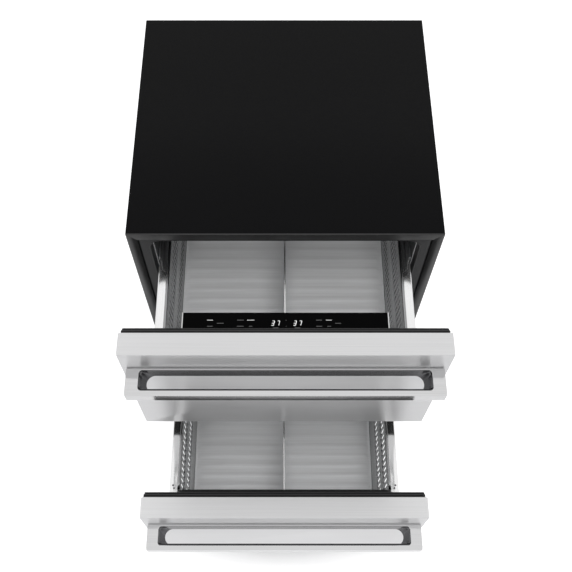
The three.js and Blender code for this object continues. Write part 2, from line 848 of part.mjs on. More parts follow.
// Cover over the coil, open to the back, with the fan's mouth, the arms that carry its motor and
// a row of return slots.
function evaporatorCover() {
  const half = openingHalf - seatGap;
  const up = [humpTop + seatGap, openingTop - seatGap];
  const sheet = evaporatorCoverSheet;
  const corner = openingRadius;
  const mouth = evaporatorFanRadius + fanClearance;
  const shell = alongY(
    roundedOutline([-half, half], up, corner),
    [coverFace, cavityRear - seatGap],
  ).subtract(alongY(
    roundedOutline([-half + sheet, half - sheet], [up[0] + sheet, up[1] - sheet], corner - sheet),
    [coverFace + sheet, cavityRear],
  ));
  const fanHole = rod(mouth + sheet, [-sheet - 1, 1], 'y', evaporatorFanPlace);
  const count = Math.floor(evaporatorWidth / (2 * returnSlotPitch)) * 2;
  const low = evaporatorBottom();
  const slots = [];
  for (let i = 0; i < count; i += 1) {
    const x = (i - (count - 1) / 2) * returnSlotPitch;
    slots.push(block(
      [x - returnSlotWidth / 2, x + returnSlotWidth / 2],
      [coverFace - 1, coverFace + sheet + 1],
      [low, low + returnSlotHeight],
    ));
  }
  const plate = fanPlate(mouth + 2 * sheet, evaporatorFanRadius, sheet, fanHubDepth + slideGap);
  const fanSeat = plate.rotate([90, 0, 0]).translate(evaporatorFanPlace);
  return cut(shell, [fanHole, join(slots)]).add(fanSeat);
}

function evaporatorFanRotor() {
  const rotor = fanRotor(evaporatorFanRadius).translate([0, 0, -fanHubDepth]);
  const [x, y, z] = evaporatorFanPlace;
  return rotor.rotate([90, 0, 0]).translate([x, y - evaporatorCoverSheet, z]);
}

// Lamp cover on the ceiling, near the mouth.
function interiorLight() {
  return block(
    [-lightLength / 2, lightLength / 2],
    [lightSetback, lightSetback + lightDepth],
    [openingTop - seatGap - lightHeight, openingTop - seatGap],
  );
}

// ---- Drawer slides ----

const slideMiddle = (drawer) => drawer.railTop - slideDrop - slideHeight / 2;

// A channel that opens towards the middle of the cabinet; its web's outer face is at x = outer.
function channelOutline(side, outer, height, middle) {
  const low = middle - height / 2;
  const high = middle + height / 2;
  const web = outer - slideSheet;
  const lip = outer - slideFlange;
  return outline([
    [outer, low],
    [outer, high],
    [lip, high],
    [lip, high - slideSheet],
    [web, high - slideSheet],
    [web, low + slideSheet],
    [lip, low + slideSheet],
    [lip, low],
  ].map(([x, z]) => [side * x, z]));
}

const cabinetSlideOuter = openingHalf - seatGap;
const middleSlideOuter = cabinetSlideOuter - slideSheet - slideGap;
const middleSlideHeight = slideHeight - 2 * (slideSheet + slideGap);
const railBarOuter = middleSlideOuter - slideSheet - slideGap;
const railBarInner = middleSlideOuter - slideFlange + slideSheet;
const railBarHeight = middleSlideHeight - 2 * (slideSheet + slideGap);

const cabinetSlide = (drawer, side) => alongY(
  channelOutline(side, cabinetSlideOuter, slideHeight, slideMiddle(drawer)),
  [slideSetback, slideSetback + slideLength],
);

const middleSlide = (drawer, side) => alongY(
  channelOutline(side, middleSlideOuter, middleSlideHeight, slideMiddle(drawer)),
  [slideSetback, slideSetback + slideLength],
);

// Rail along the drawer: a hood over the slide, a skirt that carries the bin's wall, and the bar
// that runs in the middle member of the slide. A tab at its front end is fixed to the drawer front.
function drawerRail(drawer, side) {
  const top = drawer.railTop;
  const middle = slideMiddle(drawer);
  const section = outline([
    [railInner, top],
    [railOuter, top],
    [railOuter, top - railLip],
    [railOuter - railSheet, top - railLip],
    [railOuter - railSheet, top - railSheet],
    [railInner + railSheet, top - railSheet],
    [railInner + railSheet, middle + slideShelf / 2],
    [railBarInner, middle + slideShelf / 2],
    [railBarInner, middle + railBarHeight / 2],
    [railBarOuter, middle + railBarHeight / 2],
    [railBarOuter, middle - railBarHeight / 2],
    [railBarInner, middle - railBarHeight / 2],
    [railBarInner, middle - slideShelf / 2],
    [railInner + railSheet, middle - slideShelf / 2],
    [railInner + railSheet, top - railSkirt],
    [railInner, top - railSkirt],
  ].map(([x, z]) => [side * x, z]));
  const end = closedSetback + slideSetback + slideLength;
  const across = [railInner, railInner + railTabWidth].map((x) => side * x).sort((a, b) => a - b);
  const tab = block(across, [seatGap, seatGap + 2 * railSheet], [top - railTabHeight, top]);
  return alongY(section, [seatGap, end]).add(tab);
}

// ---- Drawer fronts. In the drawer's own frame y = 0 is the back face of the front. ----

function frontSkin(drawer) {
  const { frontBottom, frontTop } = drawer;
  const pan = block([-halfWidth, halfWidth], [-frontThickness, 0], [frontBottom, frontTop]);
  return pan.subtract(block(
    [-halfWidth + skinSheet, halfWidth - skinSheet],
    [-frontThickness + skinSheet, 1],
    [frontBottom + skinSheet, frontTop - skinSheet],
  ));
}

function plugBlock(drawer, inset, from, to) {
  const half = plugHalf - inset;
  const up = [drawer.frontBottom + plugInset + inset, drawer.frontTop - plugInset - inset];
  return draftedBlock([-half, half], [from, to], up, plugDraft);
}

// Moulded liner: a plate that closes the pan and a raised plug that enters the mouth.
function frontLiner(drawer) {
  const inset = skinSheet + seatGap;
  const plate = block(
    [-halfWidth + inset, halfWidth - inset],
    [-frontLinerSheet, 0],
    [drawer.frontBottom + inset, drawer.frontTop - inset],
  );
  const plug = plugBlock(drawer, 0, -frontLinerSheet, plugDepth);
  const hollow = plugBlock(drawer, frontLinerSheet, -2 * frontLinerSheet, plugDepth - frontLinerSheet);
  return plate.add(plug).subtract(hollow);
}

function frontFoam(drawer) {
  const inset = skinSheet + seatGap;
  const slab = block(
    [-halfWidth + inset, halfWidth - inset],
    [-frontThickness + skinSheet + seatGap, -frontLinerSheet - seatGap],
    [drawer.frontBottom + inset, drawer.frontTop - inset],
  );
  const wall = frontLinerSheet + seatGap;
  const back = plugDepth - frontLinerSheet - seatGap;
  return slab.add(plugBlock(drawer, wall, -2 * frontLinerSheet - seatGap, back));
}

function frameOutline(half, low, high, width) {
  const shape = roundedOutline([-half, half], [low, high], gasketStep);
  shape.holes.push(outline([
    [-half + width, low + width],
    [half - width, low + width],
    [half - width, high - width],
    [-half + width, high - width],
  ]));
  return shape;
}

// Two stepped lips round the back of the front.
function gasket(drawer) {
  const { frontBottom, frontTop } = drawer;
  const lips = [1, 2].map((step) => {
    const inset = step * gasketStep;
    const width = gasketWidth - inset;
    const shape = frameOutline(halfWidth - inset, frontBottom + inset, frontTop - inset, width);
    const deep = [seatGap, seatGap + (gasketDepth * step) / 2];
    return alongY(shape, deep);
  });
  return join(lips);
}

// A bar carried by two posts on a back plate, all one piece. The finger opening has a round over
// the bar to pull on, and its ends slope in to a full half round at the bottom.
function handle(drawer) {
  const front = -frontThickness - seatGap;
  const top = drawer.frontTop - handleDrop;
  const low = top - handleHeight;
  const section = outline([
    [front, low],
    [front - handleReach, low],
    [front - handleReach, top - handleChamfer],
    [front - handleReach + handleChamfer, top],
    [front, top],
  ]);
  const body = alongX(section, [-handleLength / 2, handleLength / 2]);
  const eyeFront = front - handleReach + handleBar;
  const eyeBack = front - handleBackPlate;
  const eyeHalf = handleLength / 2 - handlePost;
  const level = (half, grip, rim, radius, height) => (
    roundedOutline([-half - rim, half + rim], [eyeFront - grip, eyeBack + rim], radius + rim)
      .getPoints(arcSteps)
      .map(({ x, y }) => [x, y, height])
  );
  const footRadius = (eyeBack - eyeFront) / 2 - seatGap;
  const loops = [level(eyeHalf - handleScoop, 0, 0, footRadius, low - 1)];
  for (let i = 0; i <= arcSteps; i += 1) {
    const angle = (Math.PI * i) / (2 * arcSteps);
    const spread = 1 - Math.cos(angle);
    const height = top - handleGrip * (1 - Math.sin(angle));
    loops.push(level(eyeHalf, handleGrip * spread, handleRim * spread, handleEyeRadius, height));
  }
  loops.push(level(eyeHalf, handleGrip, handleRim, handleEyeRadius, top + 1));
  return body.subtract(lofted(loops));
}

// ---- Bins ----

const binFront = plugDepth + binFrontGap;
const binRear = (drawer) => drawer.binRear + closedSetback;
const binDepth = (drawer) => drawer.railTop - drawer.binFloor;
const footHalf = binHalf - binTaper;

// One sheet folded up at the front and the back, its floor pressed with ribs across.
function binTub(drawer) {
  const floor = drawer.binFloor;
  const front = binFront;
  const back = binRear(drawer);
  const top = drawer.railTop - binEndDrop;
  const points = [
    [front, floor - binSheet],
    [back, floor - binSheet],
    [back, top],
    [back - binSheet, top],
    [back - binSheet, floor],
  ];
  const room = back - front - 2 * binSheet;
  const ribs = Math.floor(room / floorRibPitch) - 1;
  for (let i = ribs; i > 0; i -= 1) {
    const y = front + room / 2 + (i - (ribs + 1) / 2) * floorRibPitch;
    points.push([y + floorRibWidth / 2, floor]);
    points.push([y + floorRibWidth / 4, floor + floorRibHeight]);
    points.push([y - floorRibWidth / 4, floor + floorRibHeight]);
    points.push([y - floorRibWidth / 2, floor]);
  }
  points.push([front + binSheet, floor], [front + binSheet, top], [front, top]);
  const half = footHalf - binSheet - seatGap;
  return alongX(outline(points), [-half, half]);
}

// Side wall that leans in towards its foot, with a turned rim, rows of upright slots and a foot
// folded in under the floor.
function binWall(drawer, side) {
  const top = drawer.railTop;
  const foot = drawer.binFloor - binSheet - seatGap;
  const section = outline([
    [binHalf, top],
    [binHalf, top - binRim],
    [footHalf, foot - binSheet],
    [footHalf - binFoot, foot - binSheet],
    [footHalf - binFoot, foot],
    [footHalf - binSheet, foot],
    [binHalf - binSheet, top - binRim],
    [binHalf - binRim, top - binRim],
    [binHalf - binRim, top],
  ].map(([x, z]) => [side * x, z]));
  const front = binFront;
  const back = binRear(drawer);
  const wall = alongY(section, [front, back]);
  const lastRow = binDepth(drawer) - slotHeight / 2 - slotMargin;
  const rows = 1 + Math.floor((lastRow - slotRowDrop) / slotRowPitch);
  const columns = Math.floor((back - front - 2 * slotMargin) / slotPitch) + 1;
  const across = [side * (footHalf - 2 * binSheet), side * (binHalf + 1)].sort((a, b) => a - b);
  const slots = [];
  for (let row = 0; row < rows; row += 1) {
    const z = top - slotRowDrop - row * slotRowPitch;
    for (let column = 0; column < columns; column += 1) {
      const y = (front + back) / 2 + (column - (columns - 1) / 2) * slotPitch;
      slots.push(block(
        across,
        [y - slotWidth / 2, y + slotWidth / 2],
        [z - slotHeight / 2, z + slotHeight / 2],
      ));
    }
  }
  return cut(wall, [join(slots)]);
}

function binDivider(drawer) {
  return block(
    [-dividerThickness / 2, dividerThickness / 2],
    [binFront + binSheet + seatGap, binRear(drawer) - binSheet - seatGap],
    [drawer.binFloor + floorRibHeight + seatGap, drawer.railTop - dividerDrop],
  );
}

// ---- Control, on top of the upper front's liner and behind its gasket ----

const controlFront = gasketDepth + 2 * seatGap;

function controlParts(drawer) {
  const half = controlWidth / 2;
  const back = controlFront + controlDepth;
  const glassTop = drawer.frontTop - controlDrop;
  const housingTop = glassTop - controlGlass - controlBezelSheet - 2 * seatGap;
  const low = glassTop - controlHeight;
  const plugTop = drawer.frontTop - plugInset + seatGap;
  const plugBack = plugDepth + seatGap;
  const wall = controlWall;
  const section = outline([
    [controlFront, plugTop],
    [plugBack, plugTop],
    [plugBack, low],
    [back, low],
    [back, housingTop],
    [controlFront, housingTop],
  ]);
  const room = block(
    [-half + wall, half - wall],
    [plugBack + wall, back - wall],
    [low + wall, housingTop + 1],
  );
  const boardTop = housingTop - 2 * wall;
  const glassHalf = half - controlBezel - seatGap;
  return {
    housing: alongX(section, [-half, half]).subtract(room),
    board: block(
      [-half + wall + seatGap, half - wall - seatGap],
      [plugBack + wall + seatGap, back - wall - seatGap],
      [boardTop - controlBoard, boardTop],
    ),
    glass: block(
      [-glassHalf, glassHalf],
      [controlFront, back],
      [glassTop - controlGlass, glassTop],
    ),
    bezel: block([-half, half], [controlFront, back], [
      glassTop - controlGlass - controlBezelSheet - seatGap,
      glassTop,
    ]).subtract(block(
      [-half + controlBezel, half - controlBezel],
      [controlFront - 1, back + 1],
      [glassTop - controlGlass - seatGap, glassTop + 1],
    )),
  };
}

// ---- Cabinet assembly ----

piece('cabinet_wrapper', cabinetWrapper(), 'wrapper');
piece('breaker_frame', breakerFrame(), 'darkPlastic');
piece('inner_liner', innerLiner(), 'liner');
piece('cabinet_foam', cabinetFoam(), 'foam');
piece('centre_mullion', centreMullion(), 'darkPlastic');
piece('compartment_partition', compartmentPartition(), 'liner');
piece('back_panel', backPanel(), 'zinc');
piece('base_pan', basePan(), 'zinc');
piece('toe_grille', toeGrille(), 'blackPlastic');
piece('machine_cover', machineCover(), 'zinc');
piece('cord_gland', cordGland(), 'blackPlastic');
piece('compressor', compressor(), 'machineBlack');
piece('condenser_coil', condenserCoil(), 'aluminium');
piece('condenser_fan_shroud', condenserFanShroud(), 'blackPlastic');
piece('condenser_fan_rotor', condenserFanRotor(), 'darkPlastic');
piece('drain_tray', drainTray(), 'blackPlastic');
piece('discharge_pipe', dischargePipe(), 'copper');
piece('suction_line', suctionLine(pipeRadius), 'copper');
piece('evaporator_coil', evaporatorCoil(), 'aluminium');
piece('evaporator_cover', evaporatorCover(), 'liner');
piece('evaporator_fan_rotor', evaporatorFanRotor(), 'darkPlastic');
piece('interior_light', interiorLight(), 'light');
for (const leg of legPlaces()) {
  piece(`levelling_leg_${leg.name}`, levellingLeg(leg), 'zinc');
}

// ---- Drawers ----

for (const drawer of drawers) {
  const moving = new THREE.Group();
  moving.position.y = -(closedSetback + drawer.opening);
  const halfway = new THREE.Group();
  halfway.position.y = -drawer.opening / 2;
  product.add(moving, halfway);
  const label = drawer.name;
  piece(`${label}_front_skin`, frontSkin(drawer), 'stainless', moving);
  piece(`${label}_front_liner`, frontLiner(drawer), 'blackPlastic', moving);
  piece(`${label}_front_foam`, frontFoam(drawer), 'foam', moving);
  piece(`${label}_gasket`, gasket(drawer), 'rubber', moving);
  piece(`${label}_handle`, handle(drawer), 'polished', moving);
  piece(`${label}_bin_tub`, binTub(drawer), 'binSteel', moving);
  piece(`${label}_bin_divider`, binDivider(drawer), 'rail', moving);
  for (const [word, side] of [['left', -1], ['right', 1]]) {
    piece(`${label}_bin_wall_${word}`, binWall(drawer, side), 'binSteel', moving);
    piece(`${label}_rail_${word}`, drawerRail(drawer, side), 'rail', moving);
    piece(`${label}_middle_slide_${word}`, middleSlide(drawer, side), 'zinc', halfway);
    piece(`${label}_cabinet_slide_${word}`, cabinetSlide(drawer, side), 'zinc');
  }
  if (label === 'upper') {
    const control = controlParts(drawer);
    piece('control_housing', control.housing, 'blackPlastic', moving);
    piece('control_board', control.board, 'board', moving);
    piece('control_glass', control.glass, 'glass', moving);
    piece('control_bezel', control.bezel, 'polished', moving);
  }
}

// ---- Centre the footprint ----
const frontmost = closedSetback + lowerOpening + frontThickness + seatGap + handleReach;
product.position.y = (frontmost - cabinetDepth) / 2;
const part = new THREE.Group();
part.add(product);

export default part;
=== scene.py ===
import math

import bpy
import numpy as np
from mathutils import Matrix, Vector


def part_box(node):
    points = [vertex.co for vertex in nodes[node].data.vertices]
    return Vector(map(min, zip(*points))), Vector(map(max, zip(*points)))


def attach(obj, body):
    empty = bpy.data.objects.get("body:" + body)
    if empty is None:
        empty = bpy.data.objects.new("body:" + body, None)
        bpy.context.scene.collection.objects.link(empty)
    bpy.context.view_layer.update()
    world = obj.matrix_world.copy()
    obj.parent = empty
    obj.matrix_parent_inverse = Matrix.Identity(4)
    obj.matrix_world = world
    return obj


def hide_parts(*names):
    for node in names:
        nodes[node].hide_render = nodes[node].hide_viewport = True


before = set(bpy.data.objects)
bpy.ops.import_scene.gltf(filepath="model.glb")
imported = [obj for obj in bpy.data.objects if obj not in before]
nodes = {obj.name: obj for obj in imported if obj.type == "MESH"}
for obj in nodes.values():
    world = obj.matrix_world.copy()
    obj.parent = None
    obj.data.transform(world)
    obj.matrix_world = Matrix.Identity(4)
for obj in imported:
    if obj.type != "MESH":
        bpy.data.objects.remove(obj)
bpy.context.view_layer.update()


# ---- Camera ----
# A studio camera on a tall stand before the open drawers, looking down at 63 degrees. Its place
# was fitted to straight edges in the photograph, and the small shift keeps its crop.
scene = bpy.context.scene
lens = bpy.data.cameras.new("camera")
lens.sensor_width, lens.lens, lens.shift_x = 36, 51.17, 0.01486
camera = bpy.data.objects.new("camera", lens)
camera.location = (-0.0146, -0.80905, 2.1976)
camera.rotation_euler = (math.radians(27.08), 0, 0)
scene.collection.objects.link(camera)
scene.camera = camera
scene.view_settings.view_transform = "Standard"


# ---- Studio floor, room light and lamps ----
# A seamless sweep of white painted board, which shows pure white and still takes a soft shadow. Its
# glow is dimmed in a wide patch centred under the open lower drawer's front: a painted shadow,
# through which the real soft shadow also shows.
# Soft boxes hang over it, some of them behind scrims.
def grid_faces(rows, columns, wrap_rows=False, wrap_columns=False):
    """Quads of a grid of points: (i, j), (i, j + 1), (i + 1, j + 1), (i + 1, j). The last row or
    column joins the first where it wraps."""
    i, j = np.meshgrid(
        np.arange(rows if wrap_rows else rows - 1),
        np.arange(columns if wrap_columns else columns - 1),
        indexing="ij",
    )
    below, beside = (i + 1) % rows, (j + 1) % columns
    corners = [i * columns + j, i * columns + beside, below * columns + beside, below * columns + j]
    return np.stack(corners, axis=-1).reshape(-1, 4)


def shaped(name, points, faces, material, crease=35, behind=(0, 0, 0)):
    """A mesh from points and faces. The sum of a . (b x c) over its triangles, measured from a
    point behind it, says whether it faces away from that point. Edges sharper than the crease, in
    degrees, stay sharp."""
    points = np.asarray(points, float).reshape(-1, 3)
    faces = [list(map(int, face)) for face in faces]
    fans = [(f[0], *f[i:i + 2]) for f in faces for i in range(1, len(f) - 1)]
    a, b, c = (points[np.array(fans)] - behind).transpose(1, 0, 2)
    if np.einsum("ij,ij->", a, np.cross(b, c)) < 0:
        faces = [face[::-1] for face in faces]
    mesh = bpy.data.meshes.new(name)
    mesh.from_pydata(points.tolist(), [], faces)
    mesh.validate()
    mesh.polygons.foreach_set("use_smooth", np.ones(len(mesh.polygons), bool))
    mesh.set_sharp_from_angle(angle=math.radians(crease))
    mesh.materials.append(material)
    piece = bpy.data.objects.new(name, mesh)
    scene.collection.objects.link(piece)
    return piece


def node_in(tree, kind, values=(), **settings):
    """A new node with its settings, and values for some of its inputs by name or number."""
    node = tree.nodes.new(kind)
    for setting, value in settings.items():
        setattr(node, setting, value)
    for socket, value in dict(values).items():
        node.inputs[socket].default_value = value
    return node


def wire(tree, *wires):
    """Links outputs to inputs, each given as (node, output, node, input)."""
    for source, output, target, socket in wires:
        tree.links.new(source.outputs[output], target.inputs[socket])


floor_paint = bpy.data.materials.new("studio_floor")
floor_paint.use_nodes = True
tree = floor_paint.node_tree
tree.nodes.clear()
out = node_in(tree, "ShaderNodeOutputMaterial")
lit = node_in(tree, "ShaderNodeBsdfDiffuse", {"Color": (0.8, 0.8, 0.8, 1)})
glow_dimmed_as_painted_shadow = node_in(tree, "ShaderNodeEmission")
# The glow's strength falls from 0.62 to 0.08 towards a fixed point under the open lower drawer's
# front, in an ellipse stretched across the width. This is a painted shadow that stays there in
# every pose.
where = node_in(tree, "ShaderNodeTexCoord")
shadow_patch_stretch = node_in(tree, "ShaderNodeMapping", {"Scale": (0.3, 1.0, 1.0)})
away = node_in(tree, "ShaderNodeVectorMath", {1: (0.0, -0.44, 0.0)}, operation="DISTANCE")
sweep = node_in(tree, "ShaderNodeMapRange", {
    "From Min": 0.03, "From Max": 0.13, "To Min": 0.08, "To Max": 0.62,
})
both = node_in(tree, "ShaderNodeAddShader")
plain = node_in(tree, "ShaderNodeBsdfDiffuse", {"Color": (0.88, 0.88, 0.88, 1)})
path = node_in(tree, "ShaderNodeLightPath")
seen = node_in(tree, "ShaderNodeMath", operation="MAXIMUM")
pick = node_in(tree, "ShaderNodeMixShader")
wire(
    tree, (where, "Object", shadow_patch_stretch, "Vector"), (shadow_patch_stretch, "Vector", away, 0),
    (away, "Value", sweep, "Value"), (sweep, "Result", glow_dimmed_as_painted_shadow, "Strength"), (lit, 0, both, 0),
    (glow_dimmed_as_painted_shadow, 0, both, 1), (path, "Is Camera Ray", seen, 0), (path, "Is Transmission Ray", seen, 1),
    (seen, 0, pick, 0), (plain, 0, pick, 1), (both, 0, pick, 2), (pick, 0, out, "Surface"),
)
reach = 30.0
corners = reach * np.array([(-1, -1, 0), (1, -1, 0), (1, 1, 0), (-1, 1, 0)])
floor = shaped("floor", corners, [range(4)], floor_paint)

world = bpy.data.worlds.new("studio")
scene.world = world
world.use_nodes = True
tree = world.node_tree
tree.nodes.clear()
out = node_in(tree, "ShaderNodeOutputWorld")
room = node_in(tree, "ShaderNodeBackground", {"Color": (0.46, 0.46, 0.47, 1)})
white = node_in(tree, "ShaderNodeBackground", {"Color": (1, 1, 1, 1)})
path = node_in(tree, "ShaderNodeLightPath")
seen = node_in(tree, "ShaderNodeMath", operation="MAXIMUM")
seen_too = node_in(tree, "ShaderNodeMath", operation="MAXIMUM")
pick = node_in(tree, "ShaderNodeMixShader")
wire(
    tree, (path, "Is Camera Ray", seen, 0), (path, "Is Glossy Ray", seen, 1),
    (seen, 0, seen_too, 0), (path, "Is Transmission Ray", seen_too, 1), (seen_too, 0, pick, 0),
    (room, 0, pick, 1), (white, 0, pick, 2), (pick, 0, out, "Surface"),
)


def soft_box(name, place, aim, width, height, watts, mirrored=True):
    """A rectangular lamp that faces its aim. One that isn't mirrored leaves no patch on metal, as
    through a scrim."""
    lamp = bpy.data.lights.new(name, "AREA")
    lamp.shape = "RECTANGLE"
    lamp.size, lamp.size_y, lamp.energy = width, height, watts
    holder = bpy.data.objects.new(name, lamp)
    holder.location = place
    away = np.subtract(place, aim)
    lean = math.atan2(math.hypot(away[0], away[1]), away[2])
    holder.rotation_euler = (lean, 0, math.atan2(away[0], -away[1]))
    holder.visible_glossy = mirrored
    scene.collection.objects.link(holder)


soft_box("rear_box", (0.0, 0.9, 3.2), (0.0, -0.1, 0.6), 2.0, 0.8, 12, mirrored=False)
soft_box("left_box", (-2.4, -1.6, 2.2), (0.0, 0.0, 0.5), 1.4, 1.8, 16)
soft_box("right_box", (2.6, -1.0, 2.4), (0.0, 0.0, 0.5), 1.2, 1.8, 10)
soft_box("front_scrim", (0.15, -0.85, 3.1), (0.0, -0.15, 0.5), 0.9, 0.7, 26, mirrored=False)
soft_box("low_scrim", (0.1, -3.8, 4.7), (0.0, 0.0, 0.6), 2.4, 1.4, 100, mirrored=False)


# ---- Cabinet wrapper ----
# One 1 mm steel sheet folded over the roof and both sides, with a return flange turned in round the
# mouth and mitred at its corners. It is powder coated in a fine matt black. The flange and the bend
# above it get a lighter, glossier copy of the same coat: a painted sheen, and a painted highlight
# along the roof's front edge.
def pattern_group(name, spacing, kind):
    """An empty node group that takes a spacing and a contrast and puts out a mask."""
    group = bpy.data.node_groups.new(name, "ShaderNodeTree")
    group.interface.new_socket(spacing, in_out="INPUT", socket_type=kind)
    group.interface.new_socket("Contrast", in_out="INPUT", socket_type="NodeSocketFloat")
    group.interface.new_socket("Mask", in_out="OUTPUT", socket_type="NodeSocketFloat")
    return group, node_in(group, "NodeGroupInput"), node_in(group, "NodeGroupOutput")


def contrasted(group, begin, end, noise, output, middle):
    """Puts out the mask: (noise - middle) times the contrast plus a half, from 0 to 1."""
    centred = node_in(group, "ShaderNodeMath", {1: middle}, operation="SUBTRACT")
    spread = node_in(group, "ShaderNodeMath", {2: 0.5}, operation="MULTIPLY_ADD", use_clamp=True)
    wire(
        group, (noise, output, centred, 0), (centred, 0, spread, 0),
        (begin, "Contrast", spread, 1), (spread, 0, end, "Mask"),
    )


# Speckle: even noise of a given number of grains to the metre.
speckle, begin, end = pattern_group("speckle", "Grains", "NodeSocketFloat")
where = node_in(speckle, "ShaderNodeTexCoord")
grains = node_in(speckle, "ShaderNodeTexNoise", {"Detail": 4})
wire(speckle, (where, "Object", grains, "Vector"), (begin, "Grains", grains, "Scale"))
contrasted(speckle, begin, end, grains, "Fac", 0.5)


def surface(name, low, high, rough, pattern, values, bump=0.0, **sockets):
    """A material whose colour and roughness go from low to high with the mask of a pattern. The
    bump is the height in metres that the mask stands for."""
    material = bpy.data.materials.new(name)
    material.use_nodes = True
    tree = material.node_tree
    shader = tree.nodes["Principled BSDF"]
    for socket, value in sockets.items():
        shader.inputs[socket.replace("_", " ")].default_value = value
    mask = node_in(tree, "ShaderNodeGroup", values, node_tree=pattern)
    tint = node_in(tree, "ShaderNodeMix", {"A": (*low, 1), "B": (*high, 1)}, data_type="RGBA")
    gloss = node_in(tree, "ShaderNodeMapRange", {"To Min": rough[0], "To Max": rough[1]})
    wire(
        tree, (mask, "Mask", tint, "Factor"), (mask, "Mask", gloss, "Value"),
        (tint, "Result", shader, "Base Color"), (gloss, "Result", shader, "Roughness"),
    )
    if bump:
        relief = node_in(tree, "ShaderNodeBump", {"Distance": bump})
        wire(tree, (mask, "Mask", relief, "Height"), (relief, "Normal", shader, "Normal"))
    return material


def speckled(name, low, high, rough, grains, contrast, **sockets):
    """A surface that varies with the speckle."""
    values = {"Grains": grains, "Contrast": contrast}
    return surface(name, low, high, rough, speckle, values, **sockets)


def box_of(node):
    """The lowest and highest corners of a solid of the frame."""
    low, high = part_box(node)
    return np.array(low), np.array(high)


def solidified(piece, thickness):
    """Gives an open sheet its thickness, inwards."""
    wall = piece.modifiers.new("sheet", "SOLIDIFY")
    wall.thickness, wall.offset = thickness, -1.0


wrapper_black = speckled(
    "powder_coat", (0.0018, 0.0018, 0.0020), (0.0036, 0.0036, 0.0039), (0.42, 0.6),
    grains=700, contrast=1.6, bump=0.0002, Specular_IOR_Level=0.05,
)
# A lighter, glossier copy of the same powder coat for the flange and the bend at the roof's front
# edge: painted sheen and a painted highlight line.
flange_black_painted_sheen = speckled(
    "flange_coat_painted_sheen", (0.004, 0.004, 0.0042), (0.007, 0.007, 0.0072), (0.3, 0.42),
    grains=700, contrast=1.6, bump=0.0001, Specular_IOR_Level=0.6,
)
low, high = box_of("cabinet_wrapper")
wrapper_sheet, roof_bend, front_bend, flange = 0.001, 0.0025, 0.0024, 0.020
toe_height, toe_depth = 0.0764, 0.055
side, top, front, back = high[0], high[2], low[1], high[1]
bend = np.linspace(0, math.pi / 2, 6)
left = np.array([[-side, z] for z in (low[2], toe_height, top - roof_bend)])
corner = np.stack([-side + roof_bend * (1 - np.cos(bend)), top - roof_bend * (1 - np.sin(bend))], 1)
outer = np.concatenate([left, corner[1:]])
inner = np.stack([
    np.maximum(outer[:, 0], -side + flange), np.minimum(outer[:, 1], top - flange),
], 1)
inner[:len(left), 0] = -side + flange
outer = np.concatenate([outer, outer[::-1] * (-1, 1)])
inner = np.concatenate([inner, inner[::-1] * (-1, 1)])
turn_in = np.linspace(0, math.pi / 2, 5)
depths = np.concatenate([
    [back, front + toe_depth], front + front_bend * (1 - np.sin(turn_in)), [front],
])
inward = np.concatenate([[0, 0], front_bend * (1 - np.cos(turn_in)), [flange]]) / flange
flat = outer[:, None] * (1 - inward[None, :, None]) + inner[:, None] * inward[None, :, None]
points = np.stack([flat[..., 0], np.broadcast_to(depths, flat.shape[:2]), flat[..., 1]], -1)
faces = grid_faces(*points.shape[:2])
middles = points.reshape(-1, 3)[faces].mean(1)
notch = (middles[:, 2] < toe_height) & (middles[:, 1] < front + toe_depth)
shell = shaped("cabinet_shell", points, faces[~notch], wrapper_black)
shell.data.materials.append(flange_black_painted_sheen)
# The flange and bend faces take the painted-sheen copy of the coat.
on_flange = (middles[~notch][:, 1] < front + front_bend).astype(int)
shell.data.polygons.foreach_set("material_index", on_flange)
solidified(shell, wrapper_sheet)
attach(shell, "cabinet")
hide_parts("cabinet_wrapper")


# ---- Frame round the mouth ----
# A frame moulded in near-black plastic sits just behind the flange and joins the wrapper to the
# cold liner. Its opening has rounded corners and a thin raised lip, and it snaps over both edges.
def rectangle_loop(half, bottom, top, radius, steps=8):
    """A rectangle with round corners as a loop of (x, z): from each corner's centre, radius times
    (cos a, sin a) over its own quarter turn, anticlockwise from the lower right."""
    middles = np.array([[1, -1], [1, 1], [-1, 1], [-1, -1]], float)
    reach = np.array([half - radius, (top - bottom) / 2 - radius])
    angles = np.linspace(0, math.pi / 2, steps + 1) + np.arange(-1, 3)[:, None] * math.pi / 2
    corners = middles[:, None] * reach + radius * np.stack([np.cos(angles), np.sin(angles)], -1)
    return corners.reshape(-1, 2) + (0, (top + bottom) / 2)


def ringed(rings, *caps):
    """Matched loops joined in turn by quads. The last joins the first, unless caps are named: then
    a face fills the first loop, the last or both."""
    rings = np.asarray(rings, float)
    faces = grid_faces(*rings.shape[:2], wrap_rows=not caps, wrap_columns=True).tolist()
    corners = np.arange(rings.size // 3).reshape(rings.shape[:2])
    ends = {"first": corners[0, ::-1], "last": corners[-1]}
    return rings.reshape(-1, 3), faces + [ends[cap].tolist() for cap in caps]


def let_out(half, bottom, top, radius, steps, points=8):
    """Upright loops of one round-cornered rectangle: for each (distance, depth) of the steps it is
    let out all round by that distance. The radius is one for all, or one for each."""
    loops = []
    for (by, depth), corner in zip(steps, np.broadcast_to(radius, len(steps))):
        loop = rectangle_loop(half + by, bottom - by, top + by, corner, points)
        loops.append(np.insert(loop, 1, depth, axis=1))
    return loops


